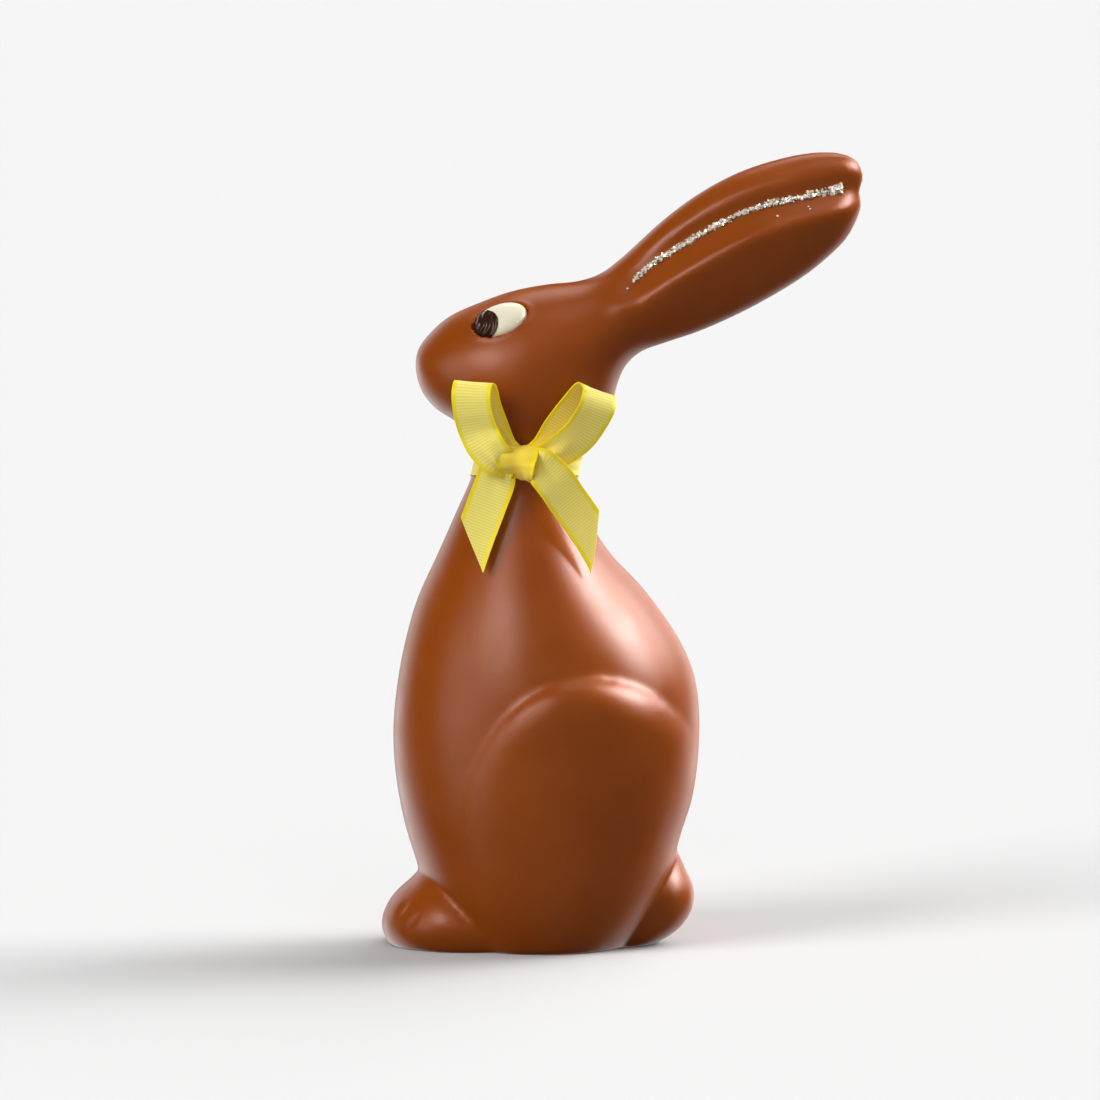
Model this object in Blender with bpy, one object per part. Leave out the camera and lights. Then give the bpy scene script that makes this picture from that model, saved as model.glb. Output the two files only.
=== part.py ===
"""Moulded chocolate bunny, sitting and looking along -X, with a ribbon bow at its neck.

Metres, +Z up. The origin is the centre of the flat base that the bunny stands on. The
bunny was cast in a two-part mould, so each lump of it is a side outline, drawn in the XZ
plane, that swells to both sides of that plane like a cushion: as deep as a soap film
blown up over the outline, with its own fullness in each region. The lumps are joined,
cut flat at the floor and hollowed for the eyes, and grains of glitter are fused into the
valley along each side of the ear.
"""

import math
import random

import bmesh
import bpy
import numpy as np
from mathutils import Matrix, Vector, geometry, kdtree
from mathutils.bvhtree import BVHTree

MM = 0.001

# Side outlines in millimetres, as (x, z), clockwise as seen from the bunny's left
TORSO_HEAD_EAR = [
    (-30.0, 14.0), (-32.7, 22.5), (-35.0, 30.0), (-37.2, 41.5), (-38.0, 53.0),
    (-37.2, 64.0), (-35.2, 75.5), (-32.0, 87.0), (-27.0, 98.2), (-22.0, 109.6),
    (-18.7, 117.2), (-17.3, 122.5), (-18.6, 127.5), (-22.0, 131.8), (-27.0, 135.0),
    (-30.6, 139.2), (-32.3, 144.9), (-31.8, 149.8), (-29.2, 153.6), (-24.2, 158.1),
    (-16.7, 161.6), (-8.0, 164.7), (0.8, 166.4), (8.3, 167.2), (13.5, 168.9),
    (18.5, 172.6), (29.7, 182.8), (38.8, 189.5), (47.7, 194.3), (56.8, 197.5),
    (65.7, 199.4), (72.8, 199.5), (76.8, 198.3), (79.0, 195.6), (79.3, 192.5),
    (78.4, 189.6), (79.0, 187.0), (78.2, 183.8), (75.2, 178.0), (69.0, 171.9),
    (62.7, 167.2), (50.8, 160.3), (38.8, 154.8), (29.7, 151.7), (24.0, 149.6),
    (20.3, 146.3), (18.2, 141.8), (16.9, 136.6), (15.0, 131.4), (11.8, 126.6),
    (8.8, 122.4), (8.2, 117.8), (9.8, 112.0), (12.8, 104.0), (16.8, 98.0),
    (23.7, 90.7), (29.6, 83.0), (34.3, 75.5), (37.3, 68.0), (38.6, 58.5),
    (38.4, 48.0), (36.9, 37.0), (33.6, 26.3), (31.5, 17.0), (28.0, 9.0),
    (22.5, 1.5), (15.0, -5.0), (7.0, -10.0), (-1.0, -13.0), (-10.0, -12.0),
    (-18.5, -5.5), (-25.0, 4.0),
]
FEET = [
    (-28.0, 21.5), (-18.0, 18.0), (-6.0, 11.0), (3.0, 5.0), (6.0, -2.0),
    (0.0, -7.0), (-14.0, -8.0), (-28.0, -6.0), (-36.5, -2.5), (-39.6, 0.8),
    (-41.0, 4.6), (-40.2, 8.6), (-37.6, 12.8), (-33.6, 16.4),
]
TAIL = [
    (35.4, 18.4), (37.3, 13.8), (37.0, 9.2), (34.4, 4.6), (30.0, 1.2),
    (23.0, -2.0), (15.0, -4.0), (8.0, -1.0), (9.0, 7.0), (16.0, 14.0),
    (24.0, 20.0), (32.0, 24.0),
]

# How deep a region swells for its half width, as ((x, z) in millimetres, share)
BODY_FULLNESS = [
    ((-2.0, -6.0), 1.10), ((0.0, 45.0), 0.80), ((0.0, 80.0), 0.88), ((-4.5, 120.0), 0.68),
    ((-15.0, 148.0), 1.0), ((5.0, 150.0), 0.90), ((25.0, 163.0), 0.72), ((45.0, 175.0), 0.62),
    ((70.0, 188.0), 0.56),
]
FEET_FULLNESS = [((-20.0, 5.0), 1.62)]
TAIL_FULLNESS = [((25.0, 10.0), 1.2)]

# The thigh: an oval in side view, raised from the torso with a rounded shoulder
HAUNCH_CENTRE = (11.2, 30.0)
HAUNCH_HALF = (32.5, 40.4)
HAUNCH_RISE = 4.8
HAUNCH_SHOULDERS = (0.15, 0.26)
HAUNCH_WIDE_AT = math.radians(25)
HAUNCH_HIGH_AT = math.radians(62)
HAUNCH_LOW = 0.12
HAUNCH_FADE = 18.0
HAUNCH_REACH = 30.0

# The ear: a valley that holds the glitter, and the crest of the fold below it
EAR_VALLEY = [
    (21.5, 167.9), (27.8, 173.0), (35.0, 177.6), (45.0, 183.1), (54.3, 186.9),
    (63.8, 189.0), (73.8, 191.0), (78.4, 190.4),
]
EAR_CREST = [
    (17.8, 161.7), (25.3, 165.7), (37.5, 172.5), (49.5, 178.8), (61.3, 183.1), (75.8, 185.9),
]
VALLEY_WIDTH = 3.6
VALLEY_DEPTH = 0.34
CREST_WIDTH = 5.5
CREST_ROUND = 1.2
CREST_RISE = 0.26
EAR_FROM = 10.0
EAR_FULL = 32.0

# Mesh steps of the chocolate
RIM_STEP = 3.6
INNER_STEP = 5.4
FEATURE_STEP = 3.3
RIM_WIDTH = 4.0
RIM_RINGS = 4

# The eye: an oval lens of white chocolate whose front end is a dark pupil
EYE_CENTRE = (-11.3, 159.0)
EYE_HALF = (7.0, 4.4, 2.3)
EYE_SUNK = 1.1
EYE_LEAN = math.radians(31)
EYE_TURN = math.radians(14)
EYE_TILT = math.radians(20)
PUPIL_FROM = -0.4
PUPIL_ROUND = 3.8
CLEARANCE = 0.3

# The glitter: grains of crystal in the ear's valley, spread more widely towards its tip
GRAINS_A_SIDE = 60
GRAIN_RADIUS = (0.45, 0.80)
GLITTER_SPREAD = (0.6, 1.5)
GLITTER_LENGTH = (0.02, 0.92)

# The ribbon, tied round the neck with its bow on the bunny's left
RIBBON_WIDTH = 10.0
RIBBON_THICKNESS = 0.6
RIBBON_STEP = 2.0
NECK_MIDDLE = (-4.6, 0.0, 120.6)
BAND_WIDTH = 4.6
BAND_THICKNESS = 0.8
BAND_SLOPE = math.radians(13)
BAND_SIDES = 48
KNOT_CENTRE = (-5.8, -17.1, 124.1)
KNOT_SIZE = (7.0, 7.0, 8.0)

# The bow's runs, from the knot: (right, towards the viewer, up) in millimetres along the
# ribbon's middle, and the direction across it, on to its right edge as the viewer sees it
LEFT_LOOP = [
    ((-1.0, 0.0, 0.5), (0.93, 0.20, 0.30)), ((-6.3, 2.2, 2.8), (0.90, 0.25, 0.35)),
    ((-9.3, 4.8, 7.2), (0.90, 0.30, 0.30)), ((-11.6, 6.2, 12.0), (0.92, 0.33, 0.22)),
    ((-12.6, 6.0, 16.8), (0.93, 0.36, 0.12)), ((-12.3, 4.0, 19.6), (0.93, 0.36, 0.10)),
    ((-11.2, 1.6, 18.6), (0.93, 0.36, 0.12)), ((-9.6, 0.2, 13.6), (0.92, 0.33, 0.22)),
    ((-7.4, 0.0, 8.0), (0.90, 0.30, 0.30)), ((-4.4, 0.0, 3.2), (0.90, 0.25, 0.35)),
    ((0.0, 0.0, 0.0), (0.93, 0.20, 0.30)),
]
RIGHT_LOOP = [
    ((1.0, 0.0, 0.5), (0.85, -0.40, -0.30)), ((7.2, 2.0, 1.8), (0.78, -0.50, -0.38)),
    ((12.0, 4.0, 5.6), (0.72, -0.56, -0.42)), ((15.8, 5.4, 10.2), (0.68, -0.60, -0.42)),
    ((18.4, 5.2, 15.0), (0.68, -0.62, -0.38)), ((18.9, 3.6, 18.0), (0.68, -0.62, -0.36)),
    ((17.6, 1.4, 18.4), (0.68, -0.62, -0.38)), ((14.2, 0.2, 14.4), (0.68, -0.60, -0.42)),
    ((10.0, 0.0, 8.6), (0.72, -0.56, -0.42)), ((5.6, 0.0, 3.4), (0.78, -0.50, -0.38)),
    ((0.0, 0.0, 0.0), (0.85, -0.40, -0.30)),
]
LEFT_TAIL = [
    ((-3.0, 0.0, 1.0), (0.95, 0.10, -0.30)), ((-6.6, 0.2, -4.4), (0.94, 0.12, -0.33)),
    ((-9.4, 0.9, -11.0), (0.93, 0.14, -0.34)), ((-11.8, 1.9, -18.4), (0.93, 0.16, -0.33)),
    ((-14.8, 3.2, -27.0), (0.93, 0.18, -0.33)), ((-16.0, 3.7, -31.0), (0.93, 0.18, -0.33)),
]
RIGHT_TAIL = [
    ((2.0, 0.2, 1.0), (0.70, -0.30, 0.60)), ((6.4, 0.2, -4.2), (0.71, -0.42, 0.56)),
    ((11.0, 0.0, -9.6), (0.71, -0.44, 0.55)), ((15.6, -0.2, -15.4), (0.70, -0.45, 0.55)),
    ((19.2, -0.4, -21.4), (0.70, -0.45, 0.55)), ((22.4, -0.6, -28.0), (0.70, -0.45, 0.55)),
]
LEFT_TAIL_LENGTHS = (15.4, 26.4)
RIGHT_TAIL_LENGTHS = (28.4, 17.0)


def material(name, colour, roughness):
    made = bpy.data.materials.new(name)
    made.use_nodes = True
    shader = made.node_tree.nodes["Principled BSDF"]
    shader.inputs["Base Color"].default_value = (*colour, 1.0)
    shader.inputs["Roughness"].default_value = roughness
    return made


def milk_chocolate():
    return material("milk_chocolate", (0.19, 0.052, 0.018), 0.35)


def white_chocolate():
    return material("white_chocolate", (0.86, 0.80, 0.62), 0.35)


def dark_chocolate():
    return material("dark_chocolate", (0.030, 0.010, 0.006), 0.3)


def yellow_ribbon():
    return material("yellow_ribbon", (0.90, 0.72, 0.07), 0.6)


def solid(name, corners, faces, skin):
    """A named object with that material, its faces turned outwards."""
    mesh = bpy.data.meshes.new(name)
    mesh.from_pydata([tuple(p) for p in corners], [], [tuple(int(i) for i in f) for f in faces])
    shape = bmesh.new()
    shape.from_mesh(mesh)
    bmesh.ops.recalc_face_normals(shape, faces=shape.faces)
    shape.to_mesh(mesh)
    shape.free()
    mesh.materials.append(skin)
    made = bpy.data.objects.new(name, mesh)
    bpy.context.scene.collection.objects.link(made)
    return made


def combine(target, operation, tools, solver):
    """Joins, cuts or keeps the target with all the tools at once, and removes the tools."""
    group = bpy.data.collections.new("tools")
    for tool in tools:
        group.objects.link(tool)
    cut = target.modifiers.new(operation.lower(), "BOOLEAN")
    cut.operation = operation
    cut.operand_type = "COLLECTION"
    cut.collection = group
    cut.solver = solver
    evaluated = target.evaluated_get(bpy.context.evaluated_depsgraph_get())
    result = bpy.data.meshes.new_from_object(evaluated)
    target.modifiers.clear()
    target.data = result
    for tool in tools:
        bpy.data.objects.remove(tool)
    bpy.data.collections.remove(group)


def spline(corners, step, closed):
    """Points at equal steps along a smooth curve through the corners, of any dimension."""
    corners = [np.array(c, dtype=float) for c in corners]
    count = len(corners)
    if closed:
        spans = [[corners[(i + k) % count] for k in (-1, 0, 1, 2)] for i in range(count)]
    else:
        ends = [2 * corners[0] - corners[1]] + corners + [2 * corners[-1] - corners[-2]]
        spans = [ends[i : i + 4] for i in range(count - 1)]
    dense = []
    for p0, p1, p2, p3 in spans:
        k1 = math.dist(p0, p1) ** 0.5
        k2 = k1 + math.dist(p1, p2) ** 0.5
        k3 = k2 + math.dist(p2, p3) ** 0.5
        for t in np.linspace(k1, k2, 24, endpoint=False):
            a1 = p0 + (p1 - p0) * t / k1
            a2 = p1 + (p2 - p1) * (t - k1) / (k2 - k1)
            a3 = p2 + (p3 - p2) * (t - k2) / (k3 - k2)
            b1 = a1 + (a2 - a1) * t / k2
            b2 = a2 + (a3 - a2) * (t - k1) / (k3 - k1)
            dense.append(b1 + (b2 - b1) * (t - k1) / (k2 - k1))
    dense = np.array(dense + [spans[-1][2]])
    along = np.concatenate([[0.0], np.cumsum(np.linalg.norm(np.diff(dense, axis=0), axis=1))])
    steps = max(2, round(along[-1] / step))
    places = np.linspace(0.0, along[-1], steps + 1)[: steps if closed else steps + 1]
    return np.stack([np.interp(places, along, axis) for axis in dense.T], axis=1)


def near(points):
    """A tree that finds the nearest of the flat points."""
    tree = kdtree.KDTree(len(points))
    for i, (x, z) in enumerate(points):
        tree.insert((x, z, 0.0), i)
    tree.balance()
    return tree


def away(tree, points):
    """How far each flat point is from the tree's nearest point."""
    return np.array([tree.find((x, z, 0.0))[2] for x, z in points])


def within(outline, points):
    """Which of the flat points are inside the outline."""
    start, end = outline, np.roll(outline, -1, axis=0)
    crossed = np.zeros(len(points), dtype=int)
    for (x0, z0), (x1, z1) in zip(start, end):
        spans = (z0 > points[:, 1]) != (z1 > points[:, 1])
        at = x0 + (points[:, 1] - z0) * (x1 - x0) / (z1 - z0 if z1 != z0 else 1.0)
        crossed += spans & (points[:, 0] < at)
    return crossed % 2 == 1


def flat_fill(rim, step, features):
    """Triangles inside the rim: rings that crowd towards it, a lattice and the features."""
    rim_tree = near(rim)
    feature_tree = near(features)
    tangent = np.roll(rim, -1, axis=0) - np.roll(rim, 1, axis=0)
    inward = np.stack([tangent[:, 1], -tangent[:, 0]], axis=1)
    inward /= np.linalg.norm(inward, axis=1)[:, None]
    inner = [features[away(rim_tree, features) > 0.6 * RIM_WIDTH]]
    for ring in range(1, RIM_RINGS + 1):
        depth = RIM_WIDTH * (ring / RIM_RINGS) ** 2
        offset = rim + inward * depth
        offset = offset[away(rim_tree, offset) > 0.97 * depth]
        offset = offset[away(feature_tree, offset) > 0.35 * step]
        gaps = np.linalg.norm(offset - np.roll(offset, 1, axis=0), axis=1)
        inner.append(offset[gaps > 0.2 * step])
    low, high = rim.min(axis=0), rim.max(axis=0)
    rows = np.arange(low[1], high[1], step * math.sqrt(0.75))
    columns = np.arange(low[0], high[0], step)
    lattice = np.array([(x + step / 2 * (i % 2), z) for i, z in enumerate(rows) for x in columns])
    lattice = lattice[within(rim, lattice)]
    lattice = lattice[away(rim_tree, lattice) > RIM_WIDTH + 0.5 * step]
    lattice = lattice[away(feature_tree, lattice) > 0.6 * step]
    points = np.concatenate([rim, *inner, lattice])
    edges = [(i, (i + 1) % len(rim)) for i in range(len(rim))]
    filled = geometry.delaunay_2d_cdt([Vector(p) for p in points], edges, [], 1, 1e-6)
    return np.array([tuple(p) for p in filled[0]]), np.array(filled[2])


def turned(a, b):
    """The z part of the cross product of flat vectors."""
    return a[:, 0] * b[:, 1] - a[:, 1] * b[:, 0]


def soap_film(points, triangles, push):
    """Height of a film held along the fill's edge and pushed up by so much everywhere."""
    count = len(points)
    load = np.zeros(count)
    ends, pulls = [], []
    for i in range(3):
        p, q, r = (triangles[:, (i + k) % 3] for k in range(3))
        u, v = points[q] - points[p], points[r] - points[p]
        twice_area = np.abs(turned(u, v))
        np.add.at(load, p, twice_area / 6 * push[p])
        ends.append(np.stack([q, r], axis=1))
        pulls.append((u * v).sum(axis=1) / twice_area / 2)
    ends, pulls = np.concatenate(ends), np.concatenate(pulls)
    sides, uses = np.unique(np.sort(ends, axis=1), axis=0, return_counts=True)
    free = np.ones(count)
    free[sides[uses == 1].ravel()] = 0.0
    first, second = ends.T

    def pulled(height):
        flow = pulls * (height[first] - height[second])
        total = np.bincount(first, flow, count) - np.bincount(second, flow, count)
        return total * free

    height = np.zeros(count)
    rest = load * free
    way = rest.copy()
    size = rest @ rest
    target = 1e-12 * size
    while size > target:
        turn = pulled(way)
        stride = size / (way @ turn)
        height += stride * way
        rest -= stride * turn
        size, before = rest @ rest, size
        way = rest + size / before * way
    return np.maximum(height, 0.0), free


def fullness(points, table):
    """The table's share at each point, blended by nearness."""
    places = np.array([p for p, _ in table])
    shares = np.array([s for _, s in table])
    apart = ((points[:, None, :] - places[None, :, :]) ** 2).sum(axis=2)
    weights = 1.0 / (apart + 60.0) ** 2
    return (weights * shares).sum(axis=1) / weights.sum(axis=1)


def haunch_level(points):
    """0 outside the haunch's oval. Inside its shoulder it is 1 at the top and falls
    towards the belly, where the thigh flows into it."""
    offset = (points - np.array(HAUNCH_CENTRE)) / np.array(HAUNCH_HALF)
    turn = np.arctan2(offset[:, 1], offset[:, 0])
    wide = 0.5 + 0.5 * np.cos(turn - HAUNCH_WIDE_AT)
    shoulder = HAUNCH_SHOULDERS[0] + (HAUNCH_SHOULDERS[1] - HAUNCH_SHOULDERS[0]) * wide
    ramp = np.clip((1.0 - np.linalg.norm(offset, axis=1)) / shoulder, 0.0, 1.0)
    upward = offset @ np.array([math.cos(HAUNCH_HIGH_AT), math.sin(HAUNCH_HIGH_AT)])
    high = HAUNCH_LOW + (1.0 - HAUNCH_LOW) * np.clip(0.5 + 0.5 * upward, 0.0, 1.0)
    return np.sqrt(ramp * (2.0 - ramp)) * high


def body_relief(points, height):
    """The haunch raised, fading out at the rim, and the valley and crest along the ear."""
    inside = height**2 / (height**2 + HAUNCH_FADE**2)
    height = height + HAUNCH_RISE * inside * haunch_level(points)
    along_ear = np.clip((points[:, 0] - EAR_FROM) / (EAR_FULL - EAR_FROM), 0.0, 1.0)
    along_ear = along_ear**2 * (3.0 - 2.0 * along_ear)
    valley = away(near(spline(EAR_VALLEY, 0.5, False)), points)
    crest = away(near(spline(EAR_CREST, 0.5, False)), points)
    crest = np.sqrt(crest**2 + CREST_ROUND**2) - CREST_ROUND
    height *= 1.0 - along_ear * VALLEY_DEPTH * np.exp(-((valley / VALLEY_WIDTH) ** 2))
    return height * (1.0 + along_ear * CREST_RISE * np.exp(-crest / CREST_WIDTH))


def haunch_ring(share):
    """Points round an oval that is so much of the haunch's size."""
    turns = np.linspace(0.0, 2 * math.pi, 60, endpoint=False)
    oval = np.stack([np.cos(turns), np.sin(turns)], axis=1)
    return np.array(HAUNCH_CENTRE) + oval * np.array(HAUNCH_HALF) * share


def body_features():
    """Places where the body's mesh needs points of its own."""
    valley = spline(EAR_VALLEY, FEATURE_STEP, False)
    crest = spline(EAR_CREST, FEATURE_STEP, False)
    rings = np.concatenate([haunch_ring(s) for s in (1.0, 1.0 - HAUNCH_SHOULDERS[0] / 2)])
    rings = rings[rings[:, 1] > HAUNCH_CENTRE[1]]
    rings = rings[rings[:, 0] < HAUNCH_REACH]
    return np.concatenate([valley, crest, rings])


def cushion(name, outline, table, relief, features):
    """A closed lump that swells to both sides of the side view's outline."""
    rim = spline(outline, RIM_STEP, True)
    points, triangles = flat_fill(rim, INNER_STEP, features)
    film, free = soap_film(points, triangles, 2.0 * fullness(points, table) ** 2)
    height = relief(points, np.sqrt(film)) * MM
    inner = np.flatnonzero(free)
    mirror = np.arange(len(points))
    mirror[inner] = len(points) + np.arange(len(inner))
    flat = points * MM
    left = np.stack([flat[:, 0], -height, flat[:, 1]], axis=1)
    right = np.stack([flat[inner, 0], height[inner], flat[inner, 1]], axis=1)
    corners = np.concatenate([left, right])
    faces = np.concatenate([triangles, mirror[triangles][:, ::-1]])
    return solid(name, corners, faces, milk_chocolate())


def plain(points, height):
    return height


def floor_block():
    """What is under the floor, to cut the base flat."""
    shape = bmesh.new()
    bmesh.ops.create_cube(shape, size=1.0, matrix=Matrix.Diagonal((0.3, 0.3, 0.1, 1.0)))
    bmesh.ops.translate(shape, verts=shape.verts, vec=(0.0, 0.0, -0.05))
    return finished("floor", shape, milk_chocolate())


def finished(name, shape, skin):
    """The object made of a bmesh, which is used up."""
    mesh = bpy.data.meshes.new(name)
    shape.to_mesh(mesh)
    shape.free()
    mesh.materials.append(skin)
    made = bpy.data.objects.new(name, mesh)
    bpy.context.scene.collection.objects.link(made)
    return made


def flipped(made, name):
    """A copy of the object on the other side of the mould's plane."""
    mesh = made.data.copy()
    mesh.transform(Matrix.Diagonal((1.0, -1.0, 1.0, 1.0)))
    mesh.flip_normals()
    copy = bpy.data.objects.new(name, mesh)
    bpy.context.scene.collection.objects.link(copy)
    return copy


def surface_tree(made):
    return BVHTree.FromPolygons([v.co for v in made.data.vertices],
                                [tuple(p.vertices) for p in made.data.polygons])


def side_hit(tree, x, z, side):
    """Where the chocolate's side is at that place in side view; side is -1 for the left."""
    start = Vector((x * MM, side, z * MM))
    return tree.ray_cast(start, Vector((0.0, -side, 0.0)))


def eye_frame(tree):
    """The left eye's placement: X along the oval, Z out of the head."""
    surface = side_hit(tree, *EYE_CENTRE, -1)[0]
    outward = Vector((-math.sin(EYE_TURN) * math.cos(EYE_LEAN),
                      -math.cos(EYE_TURN) * math.cos(EYE_LEAN), math.sin(EYE_LEAN)))
    level = Vector((math.cos(EYE_TILT), 0.0, math.sin(EYE_TILT)))
    along = (level - level.dot(outward) * outward).normalized()
    turn = Matrix((along, outward.cross(along), outward)).transposed().to_4x4()
    return Matrix.Translation(surface - outward * EYE_SUNK * MM) @ turn


def lens(name, frame, grown, skin):
    """The eye's whole oval, with its half sizes grown by so much."""
    half = [(h + grown) * MM for h in EYE_HALF]
    shape = bmesh.new()
    bmesh.ops.create_uvsphere(shape, u_segments=20, v_segments=8, radius=1.0,
                              matrix=frame @ Matrix.Diagonal((*half, 1.0)))
    return finished(name, shape, skin)


def pupil_cutter(frame, grown):
    """A drum over the eye's front end, back to the pupil's rounded edge."""
    middle = PUPIL_FROM + grown - PUPIL_ROUND
    shape = bmesh.new()
    bmesh.ops.create_cone(shape, cap_ends=True, segments=28, depth=10.0 * MM,
                          radius1=PUPIL_ROUND * MM, radius2=PUPIL_ROUND * MM,
                          matrix=frame @ Matrix.Translation((middle * MM, 0.0, 0.0)))
    return finished("pupil_cutter", shape, dark_chocolate())


def eyes(frame):
    white = lens("eye_white_left", frame, 0.0, white_chocolate())
    pupil = lens("pupil_left", frame, 0.0, dark_chocolate())
    combine(white, "DIFFERENCE", [pupil_cutter(frame, CLEARANCE)], "EXACT")
    combine(pupil, "INTERSECT", [pupil_cutter(frame, 0.0)], "EXACT")
    flipped(white, "eye_white_right")
    flipped(pupil, "pupil_right")


def glitter_grains(tree):
    """Grains half sunk in the valley on both sides of the ear."""
    draw = random.Random(7)
    line = spline(EAR_VALLEY, 0.5, False)
    grains = []
    for side in (-1, 1):
        for i in range(GRAINS_A_SIDE):
            share = (i + draw.uniform(0.0, 1.0)) / GRAINS_A_SIDE
            reach = GLITTER_LENGTH[0] + share * (GLITTER_LENGTH[1] - GLITTER_LENGTH[0])
            spread = GLITTER_SPREAD[0] + share**3 * (GLITTER_SPREAD[1] - GLITTER_SPREAD[0])
            x, z = line[int(reach * (len(line) - 1))]
            place = side_hit(tree, x, z + draw.uniform(-spread, spread), side)[0]
            radius = draw.uniform(*GRAIN_RADIUS) * MM
            turn = Matrix.Rotation(draw.uniform(0.0, math.pi), 4, Vector((1.0, 1.0, 1.0)))
            shape = bmesh.new()
            bmesh.ops.create_icosphere(shape, subdivisions=1, radius=radius,
                                       matrix=Matrix.Translation(place) @ turn)
            grains.append(finished("grain", shape, milk_chocolate()))
    return grains


def chocolate():
    body = cushion("chocolate_bunny", TORSO_HEAD_EAR, BODY_FULLNESS, body_relief, body_features())
    nowhere = np.array([(500.0, 500.0)])
    tail = cushion("tail", TAIL, TAIL_FULLNESS, plain, nowhere)
    feet = cushion("feet", FEET, FEET_FULLNESS, plain, nowhere)
    combine(body, "UNION", [tail, feet], "EXACT")
    combine(body, "DIFFERENCE", [floor_block()], "EXACT")
    tree = surface_tree(body)
    frame = eye_frame(tree)
    socket = lens("socket", frame, CLEARANCE, milk_chocolate())
    combine(body, "DIFFERENCE", [socket, flipped(socket, "socket_right")], "EXACT")
    combine(body, "UNION", glitter_grains(tree), "MANIFOLD")
    eyes(frame)
    return tree


def ribbon_run(name, route, lengths):
    """A flat strip along the route, each of its edges so long, from the first point on."""
    middle = spline([(*place, *across) for place, across in route], 0.25, False)
    steps = np.linalg.norm(np.diff(middle[:, :3], axis=0), axis=1)
    along = np.concatenate([[0.0], np.cumsum(steps)])
    count = max(2, round(max(lengths) / RIBBON_STEP))
    corners = []
    for i in range(count + 1):
        edges = []
        for sign, length in zip((-1, 1), lengths):
            at = [np.interp(i / count * length, along, axis) for axis in middle.T]
            ahead = [np.interp(i / count * length + 0.3, along, axis) for axis in middle.T[:3]]
            behind = [np.interp(i / count * length - 0.3, along, axis) for axis in middle.T[:3]]
            across = Vector(at[3:]).normalized()
            facing = (Vector(ahead) - Vector(behind)).cross(across).normalized()
            edge = Vector(at[:3]) + across * sign * RIBBON_WIDTH / 2
            edges.append((edge, facing * RIBBON_THICKNESS / 2))
        (left, half), (right, other_half) = edges
        corners += [left - half, left + half, right + other_half, right - other_half]
    faces = [(0, 1, 2, 3), (-1, -2, -3, -4)]
    for i in range(0, 4 * count, 4):
        faces += [(i + k, i + k + 4, i + (k + 1) % 4 + 4, i + (k + 1) % 4) for k in range(4)]
    faces = [[f % len(corners) for f in face] for face in faces]
    placed = [(x + KNOT_CENTRE[0], KNOT_CENTRE[1] - toward, up + KNOT_CENTRE[2])
              for x, toward, up in corners]
    return solid(name, np.array(placed) * MM, faces, yellow_ribbon())


def route_length(route):
    middle = spline([place for place, _ in route], 0.25, False)
    return np.linalg.norm(np.diff(middle, axis=0), axis=1).sum()


def neck_reach(tree, turn, rise):
    """The neck's half width in the direction of the turn, so far above its middle."""
    outward = Vector((math.cos(turn), math.sin(turn), 0.0))
    middle = Vector(NECK_MIDDLE) * MM + Vector((0.0, 0.0, rise * MM))
    start = middle + outward * 2 * RIBBON_WIDTH * MM
    return 2 * RIBBON_WIDTH - tree.ray_cast(start, -outward)[3] / MM


def neck_band(tree):
    """The ribbon's turn round the neck, folded to half its width, lower at the back."""
    corners = []
    for i in range(BAND_SIDES):
        turn = 2 * math.pi * i / BAND_SIDES
        for side, grown in ((-1, 0), (-1, 1), (1, 1), (1, 0)):
            middle = -math.sin(turn) * RIBBON_WIDTH * math.tan(BAND_SLOPE)
            rise = middle + side * BAND_WIDTH / 2
            reach = neck_reach(tree, turn, rise) + CLEARANCE + grown * BAND_THICKNESS
            outward = Vector((math.cos(turn), math.sin(turn), 0.0))
            corners.append(Vector(NECK_MIDDLE) + outward * reach + Vector((0.0, 0.0, rise)))
    faces = []
    for i in range(BAND_SIDES):
        here, there = 4 * i, 4 * ((i + 1) % BAND_SIDES)
        faces += [(here + k, there + k, there + (k + 1) % 4, here + (k + 1) % 4) for k in range(4)]
    return solid("ribbon", np.array(corners) * MM, faces, yellow_ribbon())


def knot():
    """The bow's knot, a block with well rounded edges."""
    size = Matrix.Diagonal((*[s * MM for s in KNOT_SIZE], 1.0))
    shape = bmesh.new()
    bmesh.ops.create_cube(shape, size=1.0, matrix=size)
    bmesh.ops.bevel(shape, geom=shape.edges[:], offset=2.2 * MM, segments=3, profile=0.5,
                    affect="EDGES")
    bmesh.ops.translate(shape, verts=shape.verts, vec=[c * MM for c in KNOT_CENTRE])
    return finished("knot", shape, yellow_ribbon())


def ribbon(tree):
    band = neck_band(tree)
    runs = [
        ribbon_run("left_loop", LEFT_LOOP, [route_length(LEFT_LOOP)] * 2),
        ribbon_run("right_loop", RIGHT_LOOP, [route_length(RIGHT_LOOP)] * 2),
        ribbon_run("left_tail", LEFT_TAIL, LEFT_TAIL_LENGTHS),
        ribbon_run("right_tail", RIGHT_TAIL, RIGHT_TAIL_LENGTHS),
    ]
    combine(band, "UNION", [knot(), *runs], "EXACT")


def main():
    for old in list(bpy.data.objects):
        bpy.data.objects.remove(old)
    ribbon(chocolate())
    for made in bpy.data.objects:
        made.data.shade_smooth()
        made.data.set_sharp_from_angle(angle=math.radians(40))


main()
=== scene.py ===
# %% [markdown]
# A chocolate bunny with a yellow bow.
#
# The bunny is a solid cast from a two-part mould, with eyes of white and dark chocolate,
# a line of edible glitter down each side of the ear, and a ribbon tied round its neck.
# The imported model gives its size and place. Each cell below makes one piece or one finish
# of it, at the same size, finely enough to be seen from close by.

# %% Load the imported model
import math
import random

import bmesh
import bpy
import numpy as np
from mathutils import Matrix, Vector, geometry, kdtree
from mathutils.bvhtree import BVHTree


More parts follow.
